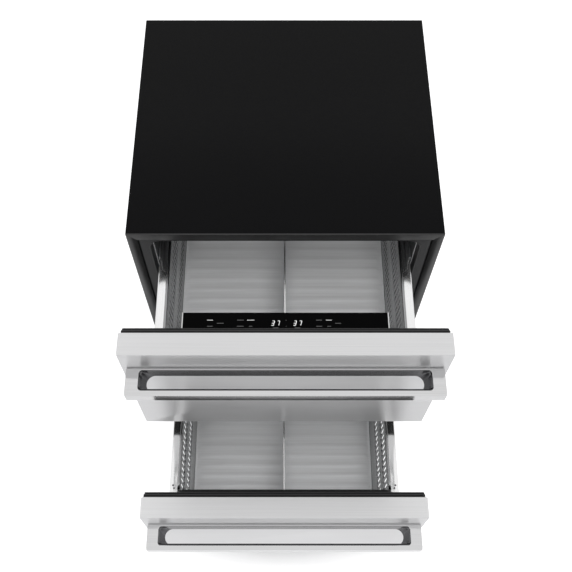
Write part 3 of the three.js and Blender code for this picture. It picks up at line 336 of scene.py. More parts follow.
mouth_black = speckled(
    "mouth_plastic", (0.006, 0.006, 0.0065), (0.011, 0.011, 0.0115), (0.38, 0.55),
    grains=900, contrast=1.4, bump=0.00015, Specular_IOR_Level=0.3,
)
low, high = box_of("breaker_frame")
mouth_side, mouth_low, mouth_top, mouth_round = 0.254, 0.110, 0.843, 0.018
front, back = low[1], high[1]
tucked, groove, sunk, splay, lip = 0.0040, 0.0010, 0.0042, 0.0068, 0.0008
edge_round, lip_round, lip_margin = 0.0006, 0.0012, 0.0035
outer = let_out(high[0], low[2], high[2], edge_round, [
    (tucked, back), (tucked, front + sunk), (-groove, front + sunk),
    (-groove, front + edge_round), (-groove - edge_round, front),
])
hole = [(splay + 0.006, front), (splay + lip_margin, front)]
hole += [
    (splay + lip_round * (1 + math.cos(a)), front - lip * math.sin(a))
    for a in np.linspace(0, math.pi, 9)
]
hole = np.array(hole + [(splay - 0.0004, front + 0.0015), (0.0008, back - 0.0012), (0.0, back)])
inner = let_out(mouth_side, mouth_low, mouth_top, mouth_round + hole[:, 0], hole)
frame_piece = shaped("mouth_frame", *ringed(outer + inner), mouth_black)
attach(frame_piece, "cabinet")
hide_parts("breaker_frame")


# ---- Edge of the cold liner ----
# The liner's rolled front edge is snapped into the back of the mouth frame. Its pale grey colour is
# a painted highlight: a thin light line round the inner lip of the dark mouth.
# Pale grey for a painted highlight along the mouth's inner lip.
edge_pale_painted_highlight = speckled(
    "liner_edge", (0.30, 0.30, 0.305), (0.42, 0.42, 0.425), (0.3, 0.45),
    grains=300, contrast=1.3, bump=0.00005,
)
bead, tuck, setback = 0.0007, 0.0016, 0.0030
angle = np.linspace(0, 2 * math.pi, 9)[:-1]
ring = np.stack([tuck - bead * np.cos(angle), back - setback + bead * np.sin(angle)], 1)
rings = let_out(mouth_side, mouth_low, mouth_top, mouth_round + ring[:, 0], ring)
edge_piece = shaped("liner_edge_bead", *ringed(rings), edge_pale_painted_highlight, 60)
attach(edge_piece, "cabinet")


# ---- Drawer fronts ----
# Each front is a pan of stainless sheet, brushed along its length, with small bends at its edges
# and hems turned over at the back, where the moulded liner closes it over the foam. Its underside
# is near-black: painted shade for the dark things that the underside of an open front mirrors.

# Brush lines: noise stretched into long fine streaks, crossed by a slow drift of tone.
brushing, begin, end = pattern_group("brushing", "Spacing", "NodeSocketVector")
where = node_in(brushing, "ShaderNodeTexCoord")
stretch = node_in(brushing, "ShaderNodeMapping")
streaks = node_in(brushing, "ShaderNodeTexNoise", {"Scale": 1, "Detail": 3})
drift = node_in(brushing, "ShaderNodeTexNoise", {"Scale": 5, "Detail": 1})
blend = node_in(brushing, "ShaderNodeMath", {1: 0.35}, operation="MULTIPLY_ADD")
wire(
    brushing, (where, "Object", stretch, "Vector"), (begin, "Spacing", stretch, "Scale"),
    (stretch, "Vector", streaks, "Vector"), (where, "Object", drift, "Vector"),
    (drift, "Fac", blend, 0), (streaks, "Fac", blend, 2),
)
contrasted(brushing, begin, end, blend, 0, 0.675)


def brushed(name, low, high, rough, spacing, contrast, across=None, stretch=0.4, metal=1.0, bump=0):
    """A metal that varies with the brush lines. Its gloss is stretched by an amount along one
    direction, square to them."""
    values = {"Spacing": spacing, "Contrast": contrast}
    material = surface(name, low, high, rough, brushing, values, bump, Metallic=metal)
    if across:
        tree = material.node_tree
        shader = tree.nodes["Principled BSDF"]
        shader.inputs["Anisotropic"].default_value = stretch
        grain = node_in(tree, "ShaderNodeCombineXYZ", zip("XYZ", across))
        wire(tree, (grain, 0, shader, "Tangent"))
    return material


front_steel = brushed(
    "brushed_front", (0.65, 0.65, 0.655), (0.75, 0.75, 0.755), (0.32, 0.42),
    spacing=(4, 1100, 1100), contrast=1.5, across=(0, 1, 1), stretch=0.85, bump=0.00001,
)
# Near-black for the underside of each front: painted shade standing for the dark things it mirrors.
underside_shade_black = speckled(
    "underside_painted_shade", (0.006, 0.006, 0.0062), (0.011, 0.011, 0.0112), (0.45, 0.6),
    grains=500, contrast=1.5, bump=0.0001, Specular_IOR_Level=0.2,
)
front_bend, hem, hem_deep, pan_corner, shade_edge = 0.0016, 0.0012, 0.0035, 0.0018, 0.00005
turn_in = np.linspace(0, math.pi / 2, 6)
drawers = ("upper", "lower")
for drawer in drawers:
    low, high = box_of(f"{drawer}_front_skin")
    front, back = low[1], high[1]
    bent = front_bend * np.stack([np.cos(turn_in) - 1, 1 - np.sin(turn_in)], 1) + (0, front)
    steps = np.concatenate([[(-hem, back - hem_deep), (-hem, back), (0.0, back)], bent])
    rings = let_out(high[0], low[2], high[2], pan_corner, steps, 4)
    points, faces = ringed(rings, "last")
    pan = shaped(f"{drawer}_front_pan", points, faces, front_steel)
    pan.data.materials.append(underside_shade_black)
    # The bottom face takes the painted shade.
    heights = np.array([points[face][:, 2].mean() for face in faces])
    pan.data.polygons.foreach_set("material_index", (heights < low[2] + shade_edge).astype(int))
    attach(pan, f"{drawer}_drawer")
    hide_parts(f"{drawer}_front_skin")


# ---- Bar handles ----
# A stainless bar on two posts and a back plate, milled in one piece and polished. The finger
# opening's walls slope in to half rounds at the bottom, under a wide round that gives the fingers
# their hold. The walls and the lower part of that round are rougher and have a very dark steel
# colour: painted shade for the dark reflections in the opening.
bar_steel = brushed(
    "polished_bar", (0.60, 0.60, 0.605), (0.68, 0.68, 0.685), (0.06, 0.10),
    spacing=(5, 900, 900), contrast=1.4, across=(0, 1, 1), bump=0.000004,
)


def flat_loop(half, front, back, radius, height):
    """A loop of (x, y) laid flat at one height."""
    return np.insert(rectangle_loop(half, front, back, radius), 2, height, axis=1)


# A dark copy of the bar's steel for the finger opening: painted shade for its dark reflections.
eye_steel_painted_shade = brushed(
    "eye_painted_shade", (0.085, 0.085, 0.088), (0.14, 0.14, 0.145), (0.16, 0.26),
    spacing=(5, 900, 900), contrast=1.5, across=(0, 0, 1), bump=0.00001,
)
bar_depth, plate, post, scoop, chamfer = 0.0135, 0.006, 0.0245, 0.011, 0.005
grip, rim, eye_corner, seat_step, seat_deep = 0.006, 0.001, 0.006, 0.0022, 0.0040
bar_corner, behind_bar, shaded_rows = 0.0004, 0.01, 6
for drawer in drawers:
    low, high = box_of(f"{drawer}_handle")
    half, front, back, foot, top = high[0], low[1], high[1], low[2], high[2]
    eye_front, eye_back, eye_half = front + bar_depth, back - plate, half - post
    foot_loop = flat_loop(
        eye_half - scoop, eye_front, eye_back, (eye_back - eye_front) / 2 - 0.0003, foot,
    )
    round_over = []
    for angle in np.linspace(0, math.pi / 2, 8):
        spread, height = 1 - math.cos(angle), top - grip * (1 - math.sin(angle))
        round_over.append(flat_loop(
            eye_half + rim * spread, eye_front - grip * spread, eye_back + rim * spread,
            eye_corner + rim * spread, height,
        ))
    walls = [foot_loop + (round_over[0] - foot_loop) * rise for rise in np.linspace(0, 1, 6)[:-1]]
    crown = flat_loop(half, front + chamfer, back - seat_step, bar_corner, top)
    shoulder = flat_loop(half, front, back - seat_step, bar_corner, top - chamfer)
    shoulder[shoulder[:, 1] > front + behind_bar, 2] = top - seat_deep
    seat = flat_loop(half, front, back, bar_corner, top - chamfer - 0.0002)
    seat[seat[:, 1] > front + behind_bar, 2] = top - seat_deep - 0.0001
    base = flat_loop(half, front, back, bar_corner, foot)
    rings = walls + round_over + [crown, shoulder, seat, base]
    bar = shaped(f"{drawer}_bar_handle", *ringed(rings), bar_steel, 30)
    bar.data.materials.append(eye_steel_painted_shade)
    row = np.repeat(np.arange(len(rings)), len(foot_loop))
    # The walls and the first rows of the round take the painted shade.
    bar.data.polygons.foreach_set("material_index", (row < len(walls) + shaded_rows).astype(int))
    edges = bar.modifiers.new("edges", "BEVEL")
    edges.width, edges.segments = 0.0007, 3
    edges.limit_method, edges.angle_limit = "ANGLE", math.radians(42)
    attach(bar, f"{drawer}_drawer")
    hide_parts(f"{drawer}_handle")


# ---- Gaskets ----
# A soft black extrusion with a magnet in it, welded at its corners and pushed into a groove round
# the back of each front: a foot, a folded bellows and a flat lip that meets the flange.
seal_black = speckled(
    "seal_rubber", (0.012, 0.012, 0.0125), (0.022, 0.022, 0.0225), (0.4, 0.6),
    grains=500, contrast=1.5, bump=0.0001, Specular_IOR_Level=0.35,
)
section = np.array([
    (0, 0), (0, 2.6), (0.7, 3.2), (6.4, 3.4), (6.9, 3.9), (6.4, 4.4), (0.9, 4.6), (0.2, 5.3),
    (0.2, 7), (0.9, 7.6), (6.6, 7.8), (7.1, 8.4), (6.6, 9), (2.4, 9.4), (1.8, 10.4), (2.4, 11.5),
    (4, 12), (13, 12), (14.2, 11.2), (14.2, 9.6), (13.4, 8.8), (12.6, 6.4), (13.8, 3.6),
    (14.8, 2.4), (14.8, 0),
]) / 1000
seal_corner, least_corner = 0.006, 0.0008
for drawer in drawers:
    low, high = box_of(f"{drawer}_gasket")
    corners = np.maximum(seal_corner - section[:, 0], least_corner)
    steps = section * (-1, 1) + (0, low[1])
    rings = let_out(high[0], low[2], high[2], corners, steps, 5)
    seal = shaped(f"{drawer}_seal", *ringed(rings), seal_black, 50)
    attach(seal, f"{drawer}_drawer")
    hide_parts(f"{drawer}_gasket")


# ---- Drawer rails ----
# Rolled rails of bright steel run back from each front over the ball slides and carry the bins.
# The visible hood has rolled edges, and a tab at its front end is screwed to the front.
def rounded_outline(corners, radii, steps=3):
    """A closed outline whose corners are arcs: each starts and ends at radius / tan(half the
    corner) from the corner, about a centre at radius / sin(half the corner) on the bisector."""
    here = np.asarray(corners, float)
    radii = np.maximum(np.broadcast_to(np.asarray(radii, float), len(here)), 2e-5)[:, None]
    back = np.roll(here, 1, 0) - here
    on = np.roll(here, -1, 0) - here
    back /= np.linalg.norm(back, axis=1, keepdims=True)
    on /= np.linalg.norm(on, axis=1, keepdims=True)
    half = np.arccos(np.clip((back * on).sum(1), -1, 1))[:, None] / 2
    middle = back + on
    middle /= np.linalg.norm(middle, axis=1, keepdims=True)
    centre = here + middle * radii / np.sin(half)
    begin = here + back * radii / np.tan(half) - centre
    finish = here + on * radii / np.tan(half) - centre
    first = np.arctan2(begin[:, 1], begin[:, 0])
    sweep = (np.arctan2(finish[:, 1], finish[:, 0]) - first + math.pi) % (2 * math.pi) - math.pi
    angles = first[:, None] + sweep[:, None] * np.linspace(0, 1, steps + 1)
    arcs = np.stack([np.cos(angles), np.sin(angles)], -1) * radii[:, None]
    return (centre[:, None] + arcs).reshape(-1, 2)


def run_along(outline, axis, stations):
    """An outline in two directions, repeated at stations along the other axis and capped."""
    rings = [np.insert(outline, axis, place, axis=1) for place in stations]
    return ringed(rings, "first", "last")


def turned(profile, centre, axis=2, sides=24):
    """A profile of (radius, height) turned about an axis through a centre: each point goes round
    at (r cos a, r sin a), its height along the axis."""
    angle = np.linspace(0, 2 * math.pi, sides, endpoint=False)
    circle = np.stack([np.cos(angle), np.sin(angle)], 1)
    rings = [np.insert(radius * circle, axis, rise, axis=1) for radius, rise in profile]
    return ringed(np.array(rings) + centre, "first", "last")


rail_steel = brushed(
    "bright_rail", (0.82, 0.82, 0.82), (0.90, 0.90, 0.90), (0.10, 0.18),
    spacing=(900, 5, 900), contrast=1.3, across=(1, 0, 1), metal=0.99, bump=0.00001,
)
screw_steel = speckled(
    "screw_steel", (0.10, 0.10, 0.105), (0.20, 0.20, 0.21), (0.25, 0.4),
    grains=900, contrast=1.4, Metallic=1.0, bump=0.00005,
)
rail_sheet, shelf, hem_drop, slide_wall, slide_play = 0.0012, 0.002, 0.006, 0.0016, 0.0021
tab_wide, tab_tall, tab_top, tab_sheet = 0.015, 0.046, 0.0014, 0.0024
hands = (("left", -1), ("right", 1))
for drawer in drawers:
    for word, hand in hands:
        low, high = box_of(f"{drawer}_rail_{word}")
        slide_low, slide_high = box_of(f"{drawer}_middle_slide_{word}")
        inside, outside = sorted((abs(low[0]), abs(high[0])))
        top, skirt = high[2], low[2]
        middle = (slide_low[2] + slide_high[2]) / 2
        slide_inside, slide_outside = sorted((abs(slide_low[0]), abs(slide_high[0])))
        bar_in, bar_out = slide_inside + slide_wall, slide_outside - slide_play
        bar_half = (slide_high[2] - slide_low[2]) / 2 - slide_play
        outline = rounded_outline([
            (inside, top), (outside, top), (outside, top - hem_drop),
            (outside - rail_sheet, top - hem_drop), (outside - rail_sheet, top - rail_sheet),
            (inside + rail_sheet, top - rail_sheet), (inside + rail_sheet, middle + shelf),
            (bar_in, middle + shelf), (bar_in, middle + bar_half), (bar_out, middle + bar_half),
            (bar_out, middle - bar_half), (bar_in, middle - bar_half), (bar_in, middle - shelf),
            (inside + rail_sheet, middle - shelf), (inside + rail_sheet, skirt), (inside, skirt),
        ], [0.0018, 0.0024, 0.0003, 0.0003, 0.0012, 0.0008, 0.0006, 0.0006, 0.0004, 0.0004,
            0.0004, 0.0004, 0.0006, 0.0006, 0.0005, 0.0005])
        rail = shaped(
            f"{drawer}_drawer_rail_{word}",
            *run_along(outline * (hand, 1), 1, [low[1], high[1]]), rail_steel,
        )
        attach(rail, f"{drawer}_drawer")
        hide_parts(f"{drawer}_rail_{word}")
        tab = rounded_outline([
            (inside, top - tab_tall), (inside + tab_wide, top - tab_tall),
            (inside + tab_wide, top - tab_top), (inside, top - tab_top),
        ], [0.002, 0.004, 0.001, 0.001])
        plate = shaped(
            f"{drawer}_rail_tab_{word}",
            *run_along(tab * (hand, 1), 1, [low[1], low[1] + tab_sheet]), rail_steel,
        )
        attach(plate, f"{drawer}_drawer")


# ---- Screws of the rails ----
# Two dark pan-head screws hold each lower rail's hood to the slide inside it, close behind the
# front, and bright ones hold the tabs to the back of each front.
head = np.array([
    (0, 0), (2.1, 0), (2.1, 0.4), (1.6, 0.9), (0.8, 1.1), (0.7, 0.5), (0, 0.5),
]) / 1000
bite = 0.00002
for word, hand in hands:
    low, high = box_of(f"lower_rail_{word}")
    middle = (low[0] + high[0]) / 2
    for number, (aside, setback) in enumerate(((-0.001, 0.030), (0.0015, 0.0365)), 1):
        points, faces = turned(head, (middle + hand * aside, low[1] + setback, high[2] - bite))
        screw = shaped(f"lower_rail_screw_{word}_{number}", points, faces, screw_steel, 50)
        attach(screw, "lower_drawer")
for drawer in drawers:
    for word, hand in hands:
        low, high = box_of(f"{drawer}_rail_{word}")
        inside = min(abs(low[0]), abs(high[0]))
        for number, drop in enumerate((0.022, 0.038), 1):
            place = (hand * (inside + tab_wide / 2), low[1] + tab_sheet - bite, high[2] - drop)
            points, faces = turned(head, place, 1)
            screw = shaped(f"{drawer}_tab_screw_{word}_{number}", points, faces, rail_steel, 50)
            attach(screw, f"{drawer}_drawer")


# ---- Bins ----
# Each bin is satin stainless sheet: a tub folded up at both ends, with ribs pressed across its
# floor to stiffen it, between side walls punched with rows of upright slots for the cold air. The
# side walls take a far darker, glossier copy of the steel: painted shade for the dark surroundings
# they mirror.
bin_steel = brushed(
    "bin_steel", (0.75, 0.755, 0.76), (0.91, 0.915, 0.92), (0.33, 0.45),
    spacing=(6, 900, 700), contrast=1.5, across=(0, 1, 1), stretch=0.5, metal=0.2, bump=0.00001,
)
# A much darker copy of the bins' stainless for the side walls: painted shade.
wall_steel_painted_shade = brushed(
    "bin_wall_painted_shade", (0.28, 0.283, 0.286), (0.36, 0.363, 0.366), (0.16, 0.22),
    spacing=(700, 6, 900), contrast=1.2, across=(0, 0, 1),
)
bin_sheet, rib_pitch, rib_height, fold = 0.0012, 0.0254, 0.0010, 0.006
corner, upstand, end_step, point_step = 0.003, 0.0012, 0.03, 0.0014
middle_gap, side_gap, run_out = 0.004, 0.006, 0.009
for drawer in drawers:
    low, high = box_of(f"{drawer}_bin_tub")
    floor_top = low[2] + bin_sheet
    turn = np.linspace(0, math.pi / 2, 7)
    front, back = low[1] + bin_sheet, high[1] - bin_sheet
    middle = (front + back) / 2
    ribs = int((back - front - 4 * fold) / rib_pitch)
    along = np.linspace(front + fold, back - fold, int((back - front) / point_step))
    phase = (along - middle) / rib_pitch + (0.0 if ribs % 2 else 0.5)
    raised = (0.5 + 0.5 * np.cos(2 * math.pi * phase)) ** 2
    raised[np.abs(along - middle) > ribs * rib_pitch / 2] = 0
    half, arc = high[0], np.linspace(0, math.pi / 2, 5)
    side = np.concatenate([half - corner + corner * np.sin(arc), [half]])
    lift = np.concatenate([corner * (1 - np.cos(arc)), [corner + upstand]])
    inner = np.concatenate([
        [middle_gap, 2 * middle_gap, 0.19], half - side_gap - run_out * np.linspace(1, 0, 4),
    ])
    across = np.concatenate([-side[::-1], -inner[::-1], inner, side])
    lift = np.concatenate([lift[::-1], np.zeros(2 * len(inner)), lift])
    reach = np.clip((half - side_gap - np.abs(across)) / run_out, 0, 1)
    reach = reach * reach * (3 - 2 * reach) * np.clip(np.abs(across) / middle_gap - 1, 0, 1)
    level, steep = 0 * along[1:-1], np.ones(2)
    depth = np.concatenate([
        front * steep, front + fold * (1 - np.cos(turn)), along[1:-1],
        back - fold * (1 - np.sin(turn)), back * steep,
    ])
    end_wall = np.array([high[2], floor_top + end_step])
    rise = np.concatenate([
        end_wall, floor_top + fold * (1 - np.sin(turn)), level + floor_top,
        floor_top + fold * (1 - np.cos(turn)), end_wall[::-1],
    ])
    inward = np.stack([
        np.concatenate([steep, np.cos(turn), level, -np.sin(turn), -steep]),
        np.concatenate([0 * steep, np.sin(turn), level + 1, np.cos(turn), 0 * steep]),
    ], -1)
    still = np.zeros(len(steep) + len(turn))
    swell = np.concatenate([still, raised[1:-1], still]) * rib_height
    above = lift + swell[:, None] * reach
    points = np.stack(np.broadcast_arrays(
        across, depth[:, None] + inward[:, :1] * above, rise[:, None] + inward[:, 1:] * above,
    ), -1)
    tub = shaped(
        f"{drawer}_bin_floor", points, grid_faces(*points.shape[:2]), bin_steel, 60,
        behind=(0, middle, low[2] - 10),
    )
    solidified(tub, bin_sheet * 0.9)
    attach(tub, f"{drawer}_drawer")
    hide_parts(f"{drawer}_bin_tub")


def welded(points, faces):
    """Points that agree to a hundredth of a millimetre become one. A square with two corners in
    one place becomes a triangle."""
    kept, whole = np.unique(np.round(points, 5), axis=0, return_inverse=True)
    merged = [list(dict.fromkeys(face)) for face in whole.reshape(-1)[faces].tolist()]
    return kept, [face for face in merged if len(face) > 2]


def leaning(height, outside, foot, begin):
    """How far out a bin's wall stands at a height: it comes in evenly from where its taper begins
    to its foot, (begin - height) / (begin - foot) of the taper."""
    return outside - taper * np.clip((begin - height) / (begin - foot), 0, 1)


slot_pitch, slot_wide, slot_tall, slot_step = 0.0127, 0.0055, 0.039, 0.100
taper, taper_drop, foot_fold, foot_bend, hem = 0.006, 0.004, 0.010, 0.002, 0.0018
ends_margin, top_margin = 0.040, 0.015
for drawer in drawers:
    for word, hand in hands:
        low, high = box_of(f"{drawer}_bin_wall_{word}")
        outside = max(abs(low[0]), abs(high[0]))
        foot, top, front, back = low[2], high[2], low[1], high[1]
        shape = (outside, foot, top - taper_drop)
        count = int((back - front - ends_margin) / slot_pitch) + 1
        begin = (front + back) / 2 - count * slot_pitch / 2
        uprights = np.concatenate([[front], begin + slot_pitch * np.arange(count + 1), [back]])
        rows = top - top_margin - slot_step * np.arange(3)
        roll = np.linspace(0, math.radians(230), 8)
        turn = np.linspace(math.pi / 2, 0, 4)
        foot_x = leaning(foot + foot_bend, *shape)
        bent = foot_bend * np.stack([np.cos(turn) - 1, 1 - np.sin(turn)], 1) + (foot_x, foot)
        profile = np.concatenate([
            [(foot_x - foot_fold, foot)], bent, np.stack([leaning(rows, *shape), rows], 1)[::-1],
            np.stack([outside - hem + hem * np.cos(roll), top - hem + hem * np.sin(roll)], 1),
        ])
        sheet = np.stack(np.broadcast_arrays(hand * profile[:, :1], uprights, profile[:, 1:]), -1)
        faces = grid_faces(*sheet.shape[:2])
        at = sheet.reshape(-1, 3)[faces].mean(1)
        celled = (at[:, 2] < rows[0]) & (at[:, 2] > rows[2])
        celled &= (at[:, 1] > begin) & (at[:, 1] < begin + count * slot_pitch)
        rim = rectangle_loop(slot_pitch / 2, -slot_step / 2, slot_step / 2, 0.0, 3)
        gap = rectangle_loop(slot_wide / 2, -slot_tall / 2, slot_tall / 2, slot_wide / 2, 3)
        cell = np.stack([rim, gap])
        places = np.stack(np.meshgrid(
            begin + slot_pitch * (np.arange(count) + 0.5), rows[:2] - slot_step / 2, indexing="ij",
        ), -1).reshape(-1, 1, 1, 2)
        spots = cell[None] + places
        holes = np.stack([hand * leaning(spots[..., 1], *shape), spots[..., 0], spots[..., 1]], -1)
        ring = grid_faces(2, len(rim), wrap_columns=True) + sheet[..., 0].size
        rings = ring[None] + (np.arange(len(holes)) * 2 * len(rim))[:, None, None]
        points = np.concatenate([sheet.reshape(-1, 3), holes.reshape(-1, 3)])
        faces = np.concatenate([faces[~celled][:, ::-1], rings.reshape(-1, 4)])
        wall = shaped(f"{drawer}_bin_side_{word}", *welded(points, faces), wall_steel_painted_shade, 50)
        solidified(wall, bin_sheet * 0.85)
        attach(wall, f"{drawer}_drawer")
        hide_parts(f"{drawer}_bin_wall_{word}")


# ---- Bin dividers ----
# A satin anodised aluminium plate stands on edge down the middle of each bin. Its edges are
# rounded, and its ends slip behind the folds of the tub.
divider_silver = brushed(
    "divider_silver", (0.74, 0.74, 0.745), (0.86, 0.86, 0.865), (0.20, 0.30),
    spacing=(900, 6, 900), contrast=1.3, across=(0, 0, 1), bump=0.00001,
)
for drawer in drawers:
    low, high = box_of(f"{drawer}_bin_divider")
    outline = rounded_outline([
        (low[0], low[2]), (high[0], low[2]), (high[0], high[2]), (low[0], high[2]),
    ], 0.0004)
    plate = shaped(f"{drawer}_divider", *run_along(outline, 1, [low[1], high[1]]), divider_silver)
    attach(plate, f"{drawer}_drawer")
    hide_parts(f"{drawer}_bin_divider")


# ---- Control ----
# A strip of black glass on a moulded housing, held at both ends by a thin bright trim. Two white
# numbers are lit behind it, with short bars where the touch keys are.
glass_black = speckled(
    "control_black", (0.0005, 0.0005, 0.0006), (0.0010, 0.0010, 0.0011), (0.05, 0.08),
    grains=60, contrast=1.0, Specular_IOR_Level=0.025,
)
trim_bright = brushed(
    "control_trim", (0.62, 0.62, 0.62), (0.72, 0.72, 0.72), (0.16, 0.26),
    spacing=(900, 8, 900), contrast=1.3,
)
lit_white = speckled(
    "lit_figures", (0.5, 0.5, 0.5), (0.6, 0.6, 0.6), (0.4, 0.5),
    grains=200, contrast=1.0, Emission_Strength=0.75,
)
lit_dim = speckled(
    "lit_keys", (0.05, 0.05, 0.05), (0.07, 0.07, 0.07), (0.4, 0.5),
    grains=200, contrast=1.0, Emission_Strength=0.07,
)
low, high = box_of("control_glass")
edge = [(0.0004, low[2]), (0.0, low[2] + 0.0004), (0.0, high[2] - 0.0005), (0.0005, high[2])]
rings = [flat_loop(high[0] - d, low[1] + d, high[1] - d, 0.0012, z) for d, z in edge]
glass = shaped("control_panel", *ringed(rings, "first", "last"), glass_black, 30)
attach(glass, "upper_drawer")
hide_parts("control_glass")
over_glass = high[2] + 0.00004
low, high = box_of("control_bezel")
half, floor_z, top, wall = high[0], low[2], high[2], 0.0020
outline = rounded_outline([
    (-half, floor_z), (half, floor_z), (half, top), (half - wall, top),
    (half - wall, floor_z + 0.001), (-half + wall, floor_z + 0.001), (-half + wall, top),
    (-half, top),
], [0.0004, 0.0004, 0.0006, 0.0004, 0.0002, 0.0002, 0.0004, 0.0006])
trim = shaped("control_end_trims", *run_along(outline, 1, [low[1], high[1]]), trim_bright)
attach(trim, "upper_drawer")
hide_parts("control_bezel")


def stroke(begin, finish, width):
    """A flat bar with pointed ends: each end, and two corners half a width in from it along the
    bar and half a width to either side."""
    begin, finish = np.array(begin, float), np.array(finish, float)
    ahead = (finish - begin) * width / 2 / np.linalg.norm(finish - begin)
    aside = np.array([-ahead[1], ahead[0]])
    return np.array([
        begin, begin + ahead - aside, finish - ahead - aside, finish, finish - ahead + aside,
        begin + ahead + aside,
    ])


def flat_marks(name, bars, height, material):
    """Flat bars of six corners each at one height, as one mesh."""
    faces = np.arange(len(bars) * 6).reshape(-1, 6)
    return shaped(name, np.insert(bars, 2, height, axis=2), faces, material)


digit_wide, digit_tall, digit_step, digit_lean = 0.0042, 0.0092, 0.0095, 0.0024
digit_foot, figure_width, bright_width = -0.1960, 0.0008, 0.00055
rear_row, middle_row, front_row, foot_row = -0.1853, -0.1916, -0.1976, -0.2010
segments = {
    "a": ((0, 1), (1, 1)), "b": ((1, 1), (1, 0.5)), "c": ((1, 0.5), (1, 0)), "d": ((0, 0), (1, 0)),
    "g": ((0, 0.5), (1, 0.5)),
}
bars = []
for left in (-0.0262, 0.0141):
    for place, wanted in enumerate(("abgcd", "abc")):
        for letter in wanted:
            ends = np.array(segments[letter], float) * (digit_wide, digit_tall)
            ends[:, 0] += digit_lean * ends[:, 1] / digit_tall
            ends += (left + place * digit_step, digit_foot)
            bars.append(stroke(*ends, figure_width))
bars += [
    stroke((left, rear_row), (right, rear_row), bright_width)
    for left, right in ((-0.1440, -0.1330), (-0.0708, -0.0572), (0.0744, 0.0854))
]
figures = flat_marks("control_figures", bars, over_glass, lit_white)
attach(figures, "upper_drawer")
dim_bars = {
    rear_row: ((-0.0890, -0.0763), (0.0005, 0.0020), (0.0560, 0.0671)),
    middle_row: ((-0.1258, -0.1130), (0.0909, 0.1019)),
    front_row: ((-0.1440, -0.1330), (-0.0890, -0.0763), (-0.0670, -0.0605), (0.0005, 0.0020),
                (0.0560, 0.0671), (0.0762, 0.0836)),
    foot_row: ((-0.0230, -0.0130), (0.0170, 0.0270)),
}
bars = [
    stroke((left, row), (right, row), figure_width)
    for row, spans in dim_bars.items() for left, right in spans
]
keys = flat_marks("control_keys", bars, over_glass, lit_dim)
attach(keys, "upper_drawer")


# ---- Levelling legs ----
# Four zinc-plated feet screw into bosses in the base pan: a stud with a rolled thread, a hexagon
# to turn it by and a broad pad with a rounded rim.
zinc = speckled(
    "zinc_plate", (0.32, 0.335, 0.35), (0.42, 0.43, 0.44), (0.3, 0.48),
    grains=140, contrast=1.7, Metallic=0.85, bump=0.00002,
)
pad = np.array([
    (0, 0), (19.2, 0), (19.8, 0.5), (20, 1.2), (19.8, 3), (18.8, 4.2), (12, 6.6), (9.8, 7.8),
    (6, 8),
]) / 1000
hexagon = np.array([(0, 7.8), (8.6, 7.8), (9.4, 8.3), (9.4, 13.5), (8.6, 14), (0, 14)]) / 1000
threads, thread_foot, thread_radius, thread_deep = 26, 0.010, 0.0047, 0.0003
for place in ("front_left", "front_right", "rear_left", "rear_right"):
    low, high = box_of(f"levelling_leg_{place}")
    centre = ((low[0] + high[0]) / 2, (low[1] + high[1]) / 2, 0)
    turns = np.linspace(0, threads, 4 * threads + 1)
    thread = np.stack([
        thread_radius + thread_deep * np.cos(2 * math.pi * turns),
        thread_foot + (high[2] - thread_foot - low[2]) * turns / threads,
    ], 1)
    points, faces = turned(np.concatenate([pad, thread, [(0.0, high[2])]]), centre)
    leg = shaped(f"leg_{place}", points, faces, zinc, 40)
    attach(leg, f"leg_{place}")
    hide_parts(f"levelling_leg_{place}")
    nut = shaped(f"leg_nut_{place}", *turned(hexagon, centre, sides=6), zinc, 30)
    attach(nut, f"leg_{place}")


# ---- Cold space ----
# The liner is one vacuum-formed sheet of grey plastic, foamed in place. The mullion, partition and
# cover of the cold coil are fixed to it, with a milky lamp cover near the mouth.
def finish_nodes(material, *names):
    """Gives solids of the frame a material in their own slots."""
    for name in names:
        nodes[name].data.materials.clear()
        nodes[name].data.materials.append(material)


liner_grey = speckled(
    "liner_plastic", (0.036, 0.037, 0.039), (0.050, 0.051, 0.053), (0.3, 0.42),
    grains=260, contrast=1.5, bump=0.0001,
)
lamp_milk = speckled(
    "lamp_milk", (0.72, 0.72, 0.68), (0.82, 0.82, 0.78), (0.3, 0.45),
    grains=80, contrast=1.2, bump=0.00005,
)
finish_nodes(liner_grey, "inner_liner", "compartment_partition", "evaporator_cover")
finish_nodes(mouth_black, "centre_mullion")
finish_nodes(lamp_milk, "interior_light")


# ---- Foam ----
# Cream polyurethane foam, poured as a liquid and set in a fine cell, fills the walls and both
# fronts. It is seen only through gaps.
foam_cream = speckled(
    "foam_cream", (0.60, 0.48, 0.24), (0.74, 0.62, 0.36), (0.85, 0.95),
    grains=420, contrast=2.4, bump=0.0006,
)
finish_nodes(foam_cream, "cabinet_foam", "upper_front_foam", "lower_front_foam")


